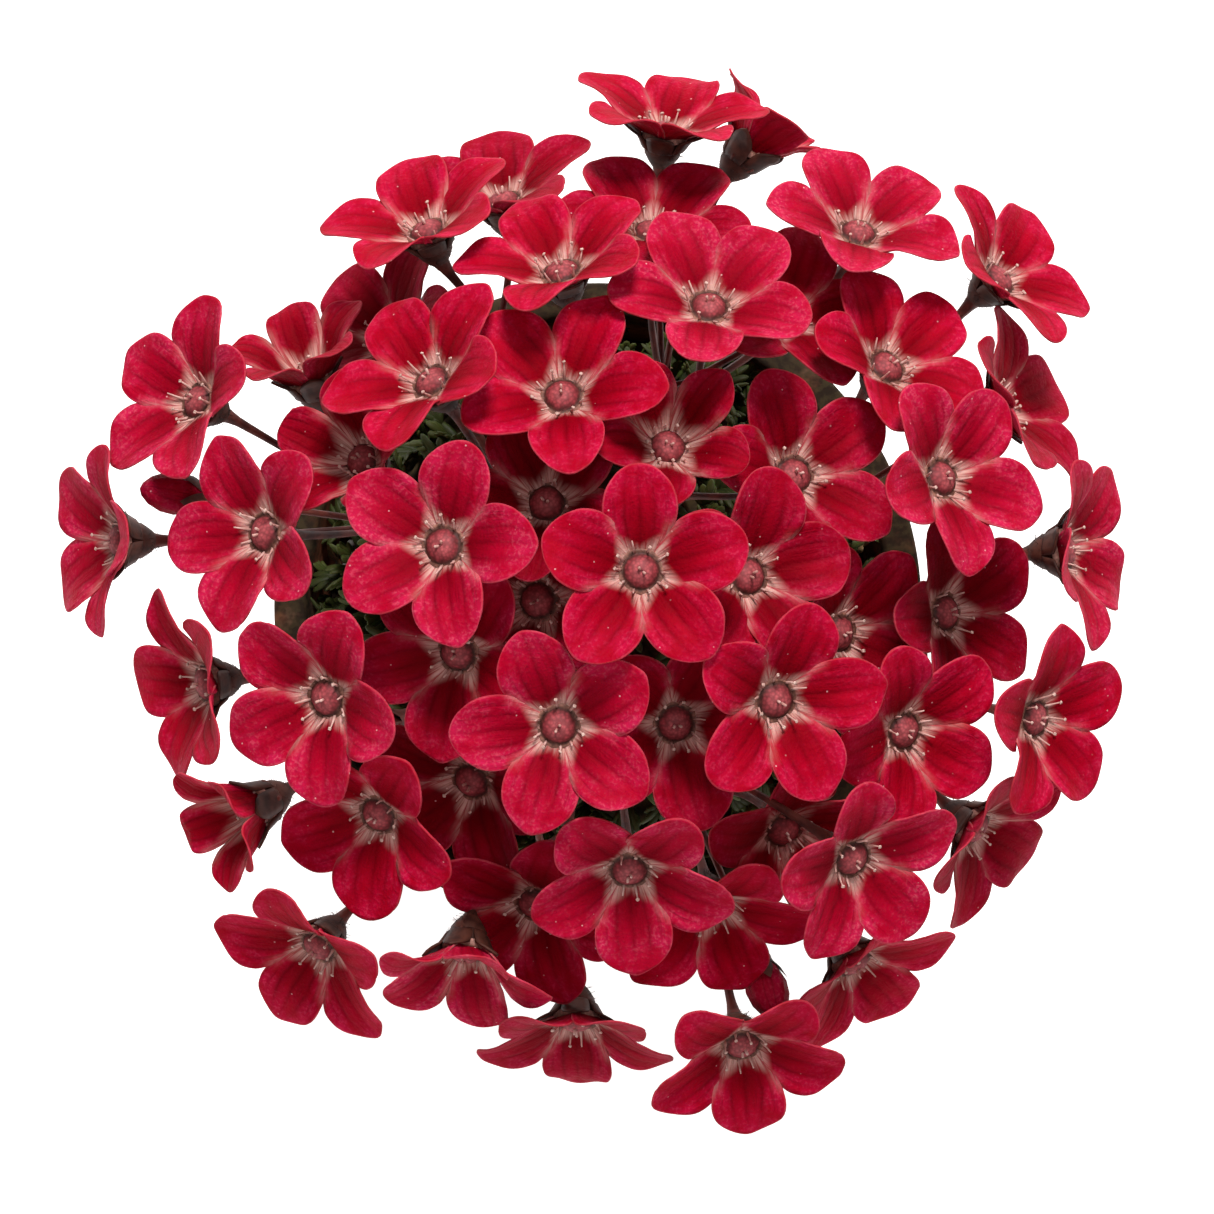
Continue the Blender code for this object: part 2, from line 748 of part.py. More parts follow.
def mesh_tree(obj):
    mesh = obj.data
    return BVHTree.FromPolygons([v.co for v in mesh.vertices], [tuple(p.vertices) for p in mesh.polygons])


def clear_leaf(name, point, out, first, k, taken):
    """Leaf k of a rosette in the first rise and turn that keep it clear of what is there, or None."""
    helper = Vector((0.3, 1, 0.2)) if abs(out.y) < 0.8 else Vector((1, 0.2, 0.1))
    across = out.cross(helper).normalized()
    length = LEAF_LENGTH * (0.86 + 0.07 * ((k * 3) % 4))
    for more_rise in LEAF_RISES:
        for more_turn in LEAF_TURNS:
            azimuth = first + TURN * k / LEAVES_IN_ROSETTE + math.radians(more_turn)
            spread = (math.cos(azimuth) * across + math.sin(azimuth) * out.cross(across)).normalized()
            rise = math.radians(42 + 9 * ((k * 2) % 3) + more_rise)
            way = math.cos(rise) * spread + math.sin(rise) * out
            face = math.cos(rise) * out - math.sin(rise) * spread
            foot = point + LEAF_CIRCLE * spread - LEAF_ROOT * out
            blade = leaf(name, foot, way, face, length)
            tree = mesh_tree(blade)
            lowest = min(v.co.z for v in blade.data.vertices)
            if lowest > SOIL_TOP + 1 * MM and not any(tree.overlap(other) for other in taken):
                taken.append(tree)
                return blade
            bpy.data.objects.remove(blade, do_unlink=True)
    return None


def make_cushion(used, pot):
    """The leafy cushion: rosettes in a sunflower's order, the last of them over the pot's edge."""
    steps = 5
    profile = [(0, SOIL_TOP + GAP), (CUSHION_RADIUS, SOIL_TOP + GAP)]
    for i in range(1, steps):
        slant = math.pi / 2 * (1 - i / steps)
        point, _ = cushion_point(slant, 0)
        profile.append((point.x, point.z))
    profile.append((0, CUSHION_TOP))
    green = material("leaves", (0.07, 0.17, 0.03), 0.6)
    cushion = turned("leaf_cushion", profile, CUSHION_SIDES, green)
    holes = stem_tubes("hole", used, GAP) + [root_stock("root_hole", GAP)]
    taken = [mesh_tree(hole) for hole in holes] + [mesh_tree(pot)]
    leaves = []
    for n in range(ROSETTES):
        slant = ROSETTE_SPREAD * math.sqrt((n + 0.3) / ROSETTES)
        place = cushion_point(slant, FIRST_ROSETTE + n * GOLDEN_ANGLE)
        for k in range(LEAVES_IN_ROSETTE):
            blade = clear_leaf(f"leaf_{n}_{k}", *place, n * GOLDEN_ANGLE, k, taken)
            if blade is not None:
                leaves.append(blade)
    joined(cushion, leaves)
    joined(cushion, holes, "DIFFERENCE")
    keep_largest_body(cushion)
    smooth(cushion, 30)


def main():
    clear_scene()
    blooms, buds = arranged_blooms()
    pot = make_pot()
    make_soil()
    make_blooms(blooms)
    used = make_stems(blooms, buds)
    make_cushion(used, pot)


main()
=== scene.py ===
"""A potted mossy saxifrage in full flower, seen from straight above its dome of blooms.

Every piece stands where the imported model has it. Lengths are in metres and +Z is up.
"""

import math
import random

import bmesh
import bpy
import numpy as np
from mathutils import Matrix, Vector
from mathutils.bvhtree import BVHTree


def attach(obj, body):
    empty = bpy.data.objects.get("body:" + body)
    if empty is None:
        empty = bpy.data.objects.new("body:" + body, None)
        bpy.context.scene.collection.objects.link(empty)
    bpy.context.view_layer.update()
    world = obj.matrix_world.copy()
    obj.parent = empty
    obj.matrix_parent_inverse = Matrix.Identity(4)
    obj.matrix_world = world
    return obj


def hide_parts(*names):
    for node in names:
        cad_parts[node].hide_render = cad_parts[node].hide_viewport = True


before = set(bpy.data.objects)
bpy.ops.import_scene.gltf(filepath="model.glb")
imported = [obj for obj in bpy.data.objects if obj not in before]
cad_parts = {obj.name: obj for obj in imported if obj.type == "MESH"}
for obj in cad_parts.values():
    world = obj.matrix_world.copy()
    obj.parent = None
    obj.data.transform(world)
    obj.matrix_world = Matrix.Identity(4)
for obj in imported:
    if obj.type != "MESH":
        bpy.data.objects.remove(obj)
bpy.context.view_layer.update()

# The blooms
# Each is a cup of five crimson petals that narrow to pale claws round a dark ringed ovary. Ten pale
# stamens, of which some still have anthers, and two short styles stand in it. It grew as one piece.
MM = 0.001
TURN = 2 * math.pi
PETALS = 5
# A bloom's finishes, in the order that its piece has them
PETAL, OVARY, FILAMENT, ANTHER = range(4)
PETAL_TURN = TURN / PETALS
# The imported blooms' own tips, how much steeper a closed one is, and how far out its tips begin
CAD_TIP_REACH = 11.5 * MM
CAD_TIP_RISE = 3.4 * MM
CAD_STEEPENING = 2.2
CAD_TIP_ZONE = 0.97
PETAL_REACH = 11.6 * MM
PETAL_INNER = 1.2 * MM
PETAL_HALF_WIDTH = 4.15 * MM
PETAL_SHEET = 0.2 * MM
# The blade's half width against an ellipse's, from the claw's end, -1, to the tip, 1
BLADE_PLACES = (-1.0, -0.79, -0.56, -0.23, 0.1, 0.45, 0.8, 1.0)
BLADE_SHARES = (0.7, 0.8, 0.9, 1.0, 1.01, 1.01, 0.97, 0.92)
PETAL_ROWS = 22
PETAL_COLUMNS = 14
# Height of the petal's middle line at shares of the reach: a cup that flattens towards the tips
CUP_SHARES = (0.1, 0.22, 0.36, 0.52, 0.68, 0.84, 1.0)
CUP_HEIGHTS = (-0.5 * MM, 0.45 * MM, 1.7 * MM, 2.75 * MM, 3.4 * MM, 3.75 * MM, 3.9 * MM)
GROOVE_DEPTH = 0.22 * MM
GROOVE_WIDTH = 0.16
NOTCH_WIDTH = 0.9 * MM
MOST_TWIST = 0.09


def node_mesh(node):
    """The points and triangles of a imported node, as arrays."""
    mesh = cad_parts[node].data
    points = np.empty(len(mesh.vertices) * 3)
    mesh.vertices.foreach_get("co", points)
    mesh.calc_loop_triangles()
    corners = np.empty(len(mesh.loop_triangles) * 3, dtype=np.int64)
    mesh.loop_triangles.foreach_get("vertices", corners)
    return points.reshape(-1, 3), corners.reshape(-1, 3)


def bloom_pose(node):
    """The matrix that carries an upright bloom onto a packed one, and how far that one is closed."""
    points, triangles = node_mesh(node)
    corners = points[triangles]
    first_side = corners[:, 1] - corners[:, 0]
    second_side = corners[:, 2] - corners[:, 0]
    areas = np.linalg.norm(np.cross(first_side, second_side), axis=1)
    centres = corners.mean(axis=1)
    middle = (centres * areas[:, None]).sum(axis=0) / areas.sum()
    spread = centres - middle
    _, axes = np.linalg.eigh((spread * areas[:, None]).T @ spread)
    axis = axes[:, 0]
    rises = (points - middle) @ axis
    outward = points - middle - rises[:, None] * axis
    reaches = np.linalg.norm(outward, axis=1)
    tips = reaches > CAD_TIP_ZONE * reaches.max()
    if rises[tips].mean() < 0:
        axis = -axis
        rises = -rises
    upper = tips & (rises > rises[tips].mean())
    closed = 1 - reaches[upper].mean() / CAD_TIP_REACH
    tip_rise = CAD_TIP_RISE * (1 + CAD_STEEPENING * closed)
    origin = middle + (rises[upper].mean() - tip_rise) * axis
    first = outward[np.argmax(np.where(upper, reaches, 0))]
    first = first / np.linalg.norm(first)
    side = np.cross(axis, first)
    matrix = Matrix.Identity(4)
    for row in range(3):
        matrix[row][0] = first[row]
        matrix[row][1] = side[row]
        matrix[row][2] = axis[row]
        matrix[row][3] = origin[row]
    return matrix, closed


def added(name, data):
    """An object made of a mesh, a light or a camera, and put in the scene."""
    obj = bpy.data.objects.new(name, data)
    bpy.context.scene.collection.objects.link(obj)
    return obj


def round_point(radius, angle, height=0.0):
    """The point at a radius, at an angle round +Z and at a height."""
    return radius * math.cos(angle), radius * math.sin(angle), height


def moved(points, matrix):
    """An array of points carried by a matrix."""
    turn = np.array(matrix)
    return points @ turn[:3, :3].T + turn[:3, 3]


class Skin:
    """Points, faces, finishes and surface coordinates gathered for one mesh."""

    def __init__(self):
        self.points = []
        self.faces = []
        self.finishes = []
        self.places = []
        self.count = 0

    def add(self, points, faces, finish=0, places=None):
        """Adds points with the faces between them, in one finish."""
        points = np.asarray(points, dtype=float).reshape(-1, 3)
        full = np.zeros((len(points), 3))
        if places is not None:
            places = np.asarray(places, dtype=float)
            full[:, : places.shape[1]] = places
        self.points.append(points)
        self.places.append(full)
        for face in faces:
            self.faces.append(tuple(int(i) + self.count for i in face))
            self.finishes.append(finish)
        self.count += len(points)

    def add_skin(self, other, matrix):
        """Adds all of another skin, carried to its place by a matrix."""
        self.points.append(moved(np.concatenate(other.points), matrix))
        self.places += other.places
        self.faces += [tuple(i + self.count for i in face) for face in other.faces]
        self.finishes += other.finishes
        self.count += other.count

    def build(self, name, finishes, matrix=None):
        """Makes the object. Its UV maps are the surface coordinates: place, and edge for the third."""
        points = np.concatenate(self.points)
        places = np.concatenate(self.places)
        if matrix is not None:
            points = moved(points, matrix)
        mesh = bpy.data.meshes.new(name)
        mesh.from_pydata(points.tolist(), [], self.faces)
        for finish in finishes:
            mesh.materials.append(finish)
        mesh.polygons.foreach_set("material_index", np.array(self.finishes, dtype=np.int32))
        mesh.polygons.foreach_set("use_smooth", np.ones(len(self.faces), dtype=bool))
        corners = np.empty(len(mesh.loops), dtype=np.int32)
        mesh.loops.foreach_get("vertex_index", corners)
        for layer, columns in (("place", (0, 1)), ("edge", (2, 2))):
            made = mesh.uv_layers.new(name=layer)
            made.data.foreach_set("uv", places[corners][:, columns].ravel())
        mesh.update()
        return added(name, mesh)


def grid_faces(rows, columns, wrap=False):
    """Quads of a grid of points laid row by row. In a wrapped one each row is a closed ring."""
    faces = []
    for i in range(rows - 1):
        for j in range(columns if wrap else columns - 1):
            a = i * columns + j
            b = i * columns + (j + 1) % columns
            faces.append((a, b, b + columns, a + columns))
    return faces


def flipped(faces):
    """Faces turned to look the other way."""
    return [tuple(reversed(face)) for face in faces]


def capped_faces(rows, columns):
    """Faces of a form laid as rings of points, with a flat face at each end."""
    last = (rows - 1) * columns
    ends = [tuple(reversed(range(columns))), tuple(range(last, last + columns))]
    return grid_faces(rows, columns, wrap=True) + ends


def petal_grid():
    """A square grid laid over an obovate blade: its shares along and across, at every point."""
    along, across = np.meshgrid(
        np.linspace(-1, 1, PETAL_ROWS), np.linspace(-1, 1, PETAL_COLUMNS), indexing="ij"
    )
    round_along = along * np.sqrt(1 - across**2 / 2)
    round_across = across * np.sqrt(1 - along**2 / 2)
    return round_along.ravel(), round_across.ravel()


GRID_ALONG, GRID_ACROSS = petal_grid()


def smooth_step(x):
    """A smooth rise from none at 0 to one at 1."""
    x = np.clip(x, 0, 1)
    return x * x * (3 - 2 * x)


def cup_height(share, closed):
    """Height of a petal's middle line at a share of its reach, for a bloom closed so far."""
    steepening = 1 + CAD_STEEPENING * closed * smooth_step((share - 0.22) / 0.35)
    return np.interp(share, CUP_SHARES, CUP_HEIGHTS) * steepening


def petal_surface(draw, closed):
    """The points of one petal along +X, and the coordinates that its veins follow."""
    reach = PETAL_REACH * (1 - closed) * draw.uniform(0.96, 1.02)
    width = PETAL_HALF_WIDTH * (1 - closed) * draw.uniform(0.94, 1.04)
    taper = np.interp(GRID_ALONG, BLADE_PLACES, BLADE_SHARES)
    along = (PETAL_INNER + reach) / 2 + (reach - PETAL_INNER) / 2 * GRID_ALONG
    across = width * GRID_ACROSS * taper
    notch = draw.uniform(-0.3, 0.2) * MM
    end = smooth_step((GRID_ALONG - 0.45) / 0.55)
    along = along - notch * end * np.exp(-((across / NOTCH_WIDTH) ** 2))
    rise = cup_height(along / (PETAL_REACH * (1 - closed)), closed)
    hollow = draw.uniform(0.7, 1.3) * MM
    lean = across / PETAL_HALF_WIDTH
    body = smooth_step((GRID_ALONG + 0.7) / 0.7)
    rise = rise + hollow * body * (1 - 0.6 * end) * (lean**2 - 0.35)
    waves = draw.uniform(0.05, 0.15) * MM
    phase = draw.uniform(0, TURN)
    edge = np.clip(np.hypot(GRID_ALONG, GRID_ACROSS), 0, 1) ** 4
    angle = np.arctan2(GRID_ACROSS, GRID_ALONG)
    rise = rise + waves * edge * body * np.sin(4 * angle + phase)
    rise = rise - draw.uniform(-0.2, 0.6) * MM * end
    rise = rise - GROOVE_DEPTH * body * (1 - edge) * np.exp(-((GRID_ACROSS / GROOVE_WIDTH) ** 2))
    rise = rise + draw.uniform(-MOST_TWIST, MOST_TWIST) * across * body
    fan = GRID_ACROSS / (0.4 + 0.6 * np.sqrt(np.clip(1 - GRID_ALONG**2, 0, 1)) + 1e-6)
    points = np.stack([along, across, rise], axis=1)
    rim = np.hypot(GRID_ALONG, GRID_ACROSS)
    places = np.stack([0.5 + 0.5 * fan, along / PETAL_REACH, rim], axis=1)
    return points, places


def surface_normals(points, rows, columns):
    """Unit normals of a grid of points, all turned upwards."""
    grid = points.reshape(rows, columns, 3)
    down = np.gradient(grid, axis=0)
    right = np.gradient(grid, axis=1)
    normals = np.cross(down, right).reshape(-1, 3)
    lengths = np.linalg.norm(normals, axis=1)
    normals = normals / np.maximum(lengths, 1e-12)[:, None]
    return normals * np.sign(normals[:, 2:3] + 1e-9)


def sheet_faces(rows, columns):
    """Faces of a thin closed sheet: a grid of points, the same grid under it, and the rim between."""
    count = rows * columns
    flat = grid_faces(rows, columns)
    faces = flipped(flat) + [tuple(i + count for i in face) for face in flat]
    top = list(range(columns))
    right = [i * columns + columns - 1 for i in range(1, rows)]
    bottom = [count - 2 - j for j in range(columns - 1)]
    left = [i * columns for i in range(rows - 2, 0, -1)]
    rim = top + right + bottom + left
    for a, b in zip(rim, rim[1:] + rim[:1]):
        faces.append((a, b, b + count, a + count))
    return faces


PETAL_FACES = sheet_faces(PETAL_ROWS, PETAL_COLUMNS)
# Small lifts that set overlapping petals at different heights. Neighbours still cross each other, from
# their claws out to about two thirds of their reach at most
PETAL_LIFTS = (0.0, 0.14 * MM, 0.05 * MM, 0.19 * MM, 0.1 * MM)
# The back has no pale claw: its colours start this far along
BACK_START = 0.3


def add_petal(skin, k, draw, closed):
    """One thin petal with both its faces and its rim."""
    points, places = petal_surface(draw, closed)
    normals = surface_normals(points, PETAL_ROWS, PETAL_COLUMNS)
    lower = points - PETAL_SHEET * normals
    angle = k * PETAL_TURN + draw.uniform(-0.05, 0.05)
    turn = np.array((round_point(1, angle), round_point(1, angle + TURN / 4), (0, 0, 1)))
    both = np.concatenate([points, lower]) @ turn
    both[:, 2] += PETAL_LIFTS[k]
    backs = places * (1, 1 - BACK_START, 1) + (0, BACK_START, 0)
    skin.add(both, PETAL_FACES, PETAL, np.concatenate([places, backs]))


def turned_skin(skin, profile, sides, finish):
    """A form turned about +Z from (radius, height) pairs, open where its ends have a radius."""
    points = []
    places = []
    for n, (radius, height) in enumerate(profile):
        for i in range(sides):
            points.append(round_point(radius, TURN * i / sides, height))
            places.append((i / sides, n / (len(profile) - 1)))
    skin.add(points, grid_faces(len(profile), sides, wrap=True), finish, places)


OVARY_SIDES = 20
OVARY_PROFILE = (
    (2.65 * MM, -0.5 * MM),
    (2.6 * MM, 0.1 * MM),
    (2.35 * MM, 0.42 * MM),
    (2.14 * MM, 0.3 * MM),
    (1.94 * MM, 0.34 * MM),
    (1.74 * MM, 0.62 * MM),
    (1.35 * MM, 0.95 * MM),
    (0.8 * MM, 1.2 * MM),
    (0.35 * MM, 1.3 * MM),
    (0.0, 1.32 * MM),
)
STAMENS = 10
STAMEN_FOOT = 2.15 * MM
FILAMENT_RADII = (0.2 * MM, 0.16 * MM, 0.11 * MM, 0.08 * MM)
# The least and the most, in mm, that a stamen's tip stands out and up, and of its anther's length
STAMEN_REACH = (2.4, 3.3)
STAMEN_RISE = (1.1, 2.3)
ANTHER_LENGTH = (0.3, 0.42)
ANTHERS_LEFT = 0.6
ANTHER_RADII = (0.05 * MM, 0.11 * MM, 0.13 * MM, 0.11 * MM, 0.05 * MM)
STYLE_LENGTH = 0.9 * MM
STYLE_RADII = (0.2 * MM, 0.15 * MM, 0.17 * MM, 0.08 * MM)


def add_ovary(skin, draw):
    """The ringed dome, a little lumpy, as nothing grows quite round."""
    turned_skin(skin, OVARY_PROFILE, OVARY_SIDES, OVARY)
    for point in skin.points[-1]:
        point[:2] *= draw.uniform(0.96, 1.03)
        point[2] += draw.uniform(-0.06, 0.06) * MM


def tube_skin(skin, route, radii, sides, finish):
    """A round rod along a route, with a radius at each of its points."""
    route = [Vector(p) for p in route]
    across = Vector((0.37, 0.61, 0.7))
    points = []
    for i, point in enumerate(route):
        ahead = (route[min(i + 1, len(route) - 1)] - route[max(i - 1, 0)]).normalized()
        across = (across - across.dot(ahead) * ahead).normalized()
        other = ahead.cross(across)
        for j in range(sides):
            angle = TURN * j / sides
            points.append(point + radii[i] * (math.cos(angle) * across + math.sin(angle) * other))
    places = [(j / sides, i / (len(route) - 1)) for i in range(len(route)) for j in range(sides)]
    skin.add(points, capped_faces(len(route), sides), finish, places)


def add_anther(skin, at, way, draw):
    """A small two-lobed anther across the end of its filament."""
    side = way.cross(Vector((0, 0, 1)))
    side = side.normalized() if side.length > 0.01 else Vector((1, 0, 0))
    length = draw.uniform(*ANTHER_LENGTH) * MM
    for lobe in (-1, 1):
        middle = at + 0.08 * MM * lobe * side
        route = [middle + length * t * way for t in (-0.5, -0.3, 0, 0.3, 0.5)]
        tube_skin(skin, route, ANTHER_RADII, 6, ANTHER)


def add_stamens(skin, draw, closed):
    """Ten short filaments round the ovary that lean outwards, most with an anther."""
    for n in range(STAMENS):
        angle = TURN * (n + 0.5) / STAMENS + draw.uniform(-0.1, 0.1)
        out = Vector(round_point(1, angle))
        reach = draw.uniform(*STAMEN_REACH) * MM * (1 - closed)
        rise = draw.uniform(*STAMEN_RISE) * MM
        foot = STAMEN_FOOT * out + Vector((0, 0, 0.2 * MM))
        knee = 0.5 * (2.3 * MM + reach) * out + Vector((0, 0, 0.6 * rise))
        tip = reach * out + Vector((0, 0, rise))
        tube_skin(skin, [foot, foot.lerp(knee, 0.6), knee, tip], FILAMENT_RADII, 5, FILAMENT)
        if draw.random() < ANTHERS_LEFT:
            way = Vector((draw.uniform(-1, 1), draw.uniform(-1, 1), draw.uniform(-0.2, 0.5)))
            add_anther(skin, tip + Vector((0, 0, 0.12 * MM)), way.normalized(), draw)


def add_styles(skin, draw):
    """The two short styles that stand close together on the ovary."""
    angle = draw.uniform(0, TURN)
    for side in (-1, 1):
        out = side * Vector(round_point(1, angle))
        foot = 0.22 * MM * out + Vector((0, 0, 1.1 * MM))
        tip = 0.42 * MM * out + Vector((0, 0, 1.2 * MM + draw.uniform(0.6, 1.0) * STYLE_LENGTH))
        route = [foot, foot.lerp(tip, 0.5), tip, tip + 0.1 * MM * out]
        tube_skin(skin, route, STYLE_RADII, 6, FILAMENT)


def new_material(name, roughness, **settings):
    """A material with its tree and its shader. Settings are the shader's inputs, _ for a space."""
    made = bpy.data.materials.new(name)
    made.use_nodes = True
    shader = made.node_tree.nodes["Principled BSDF"]
    shader.inputs["Roughness"].default_value = roughness
    for key, value in settings.items():
        shader.inputs[key.replace("_", " ")].default_value = value
    return made, made.node_tree, shader


def new_group(name, entries, outlets):
    """An empty shader group with named sockets: its tree, its input node and its output node."""
    tree = bpy.data.node_groups.new(name, "ShaderNodeTree")
    kinds = {"value": "NodeSocketFloat", "colour": "NodeSocketColor"}
    for entry, kind in entries:
        tree.interface.new_socket(name=entry, in_out="INPUT", socket_type=kinds[kind])
    for outlet, kind in outlets:
        tree.interface.new_socket(name=outlet, in_out="OUTPUT", socket_type=kinds[kind])
    return tree, tree.nodes.new("NodeGroupInput"), tree.nodes.new("NodeGroupOutput")


def placed_group(tree, group, **values):
    """Places a group in a material, with its own values for the group's inputs."""
    made = tree.nodes.new("ShaderNodeGroup")
    made.node_tree = group
    for key, value in values.items():
        made.inputs[key].default_value = (*value, 1) if isinstance(value, tuple) else value
    return made


def node(tree, kind, **values):
    """Adds a shader node. Keys are its settings, or its inputs by name with _ for a space."""
    made = tree.nodes.new(kind)
    for key, value in values.items():
        if hasattr(made, key):
            setattr(made, key, value)
        else:
            made.inputs[key.replace("_", " ")].default_value = value
    return made


def link(tree, source, target, entry):
    """Links an output to an input. It is given as a (node, output) pair, or as a node for its first."""
    made, outlet = source if isinstance(source, tuple) else (source, 0)
    tree.links.new(made.outputs[outlet], target.inputs[entry])


def fixed_to_object(tree, texture, coordinates=None):
    """Lays a texture in the object's own coordinates, or in others that are given."""
    link(tree, coordinates or (tree.nodes.new("ShaderNodeTexCoord"), "Object"), texture, "Vector")
    return texture


def noise(tree, scale, detail, coordinates=None, roughness=0.5):
    """The value of a noise texture, as a (node, output) pair."""
    made = node(tree, "ShaderNodeTexNoise", Scale=scale, Detail=detail, Roughness=roughness)
    return fixed_to_object(tree, made, coordinates), "Fac"


def surface_place(tree, layer="place"):
    """A node that gives a UV map's two values as its X and Y."""
    split = tree.nodes.new("ShaderNodeSeparateXYZ")
    link(tree, node(tree, "ShaderNodeUVMap", uv_map=layer), split, "Vector")
    return split


def ramp(tree, stops, source):
    """A colour ramp from (place, colour) stops."""
    made = tree.nodes.new("ShaderNodeValToRGB")
    stripes = made.color_ramp
    while len(stripes.elements) < len(stops):
        stripes.elements.new(0.5)
    for element, (place, colour) in zip(stripes.elements, stops):
        element.position = place
        element.color = (*colour, 1)
    link(tree, source, made, "Fac")
    return made


def is_source(value):
    """True for a node or a (node, output) pair, and not for a number or a colour."""
    return isinstance(value, bpy.types.Node) or (isinstance(value, tuple) and len(value) == 2)


def maths(tree, operation, *operands, clamp=False):
    """A maths node. Each operand is a number, a node or a (node, output) pair."""
    made = tree.nodes.new("ShaderNodeMath")
    made.operation = operation
    made.use_clamp = clamp
    for n, operand in enumerate(operands):
        if is_source(operand):
            link(tree, operand, made, n)
        else:
            made.inputs[n].default_value = operand
    return made


def product(tree, first, *others):
    """Values multiplied together."""
    for other in others:
        first = maths(tree, "MULTIPLY", first, other)
    return first


def mixed(tree, factor, first, second, blend="MIX"):
    """Two colours mixed, each a colour or a source. The result is a (node, output) pair."""
    made = tree.nodes.new("ShaderNodeMix")
    made.data_type = "RGBA"
    made.blend_type = blend
    for entry, value in ((0, factor), (6, first), (7, second)):
        if is_source(value):
            link(tree, value, made, entry)
        else:
            made.inputs[entry].default_value = value if entry == 0 else (*value, 1)
    return made, 2


def band(tree, source, middle, half):
    """A soft stripe: one on the middle value of the source, falling to none half that far away."""
    off = maths(tree, "ABSOLUTE", maths(tree, "SUBTRACT", source, middle))
    return maths(tree, "SUBTRACT", 1.0, maths(tree, "DIVIDE", off, half), clamp=True)


def fade(tree, source, start, end):
    """A smooth mask that is none at the start value of the source and one at the end value."""
    made = tree.nodes.new("ShaderNodeMapRange")
    made.interpolation_type = "SMOOTHSTEP"
    made.inputs["From Min"].default_value = start
    made.inputs["From Max"].default_value = end
    link(tree, source, made, "Value")
    return made


def bumped(tree, shader, height, strength, distance):
    """Gives a shader fine relief from a height."""
    bump = node(tree, "ShaderNodeBump", Strength=strength, Distance=distance)
    link(tree, height, bump, "Height")
    link(tree, bump, shader, "Normal")


CRIMSON = (0.4, 0.001, 0.019)
BRIGHT_CRIMSON = (0.58, 0.012, 0.072)
SHEEN_FLECK_PINK = (0.72, 0.1, 0.16)
DEEP_CRIMSON = (0.2, 0.0005, 0.006)
VEIN_AND_SHADE_RED = (0.16, 0.0005, 0.006)
CLAW_PINK = (0.65, 0.38, 0.33)
CLAW_DUSK = (0.33, 0.14, 0.11)
RIM_LIGHT_PINK = (0.6, 0.13, 0.14)
GLAND_WHITE = (0.8, 0.5, 0.5)
GLANDS_PER_METRE = 720.0
SIDE_VEINS = 0.42
OUTER_VEINS = 0.68


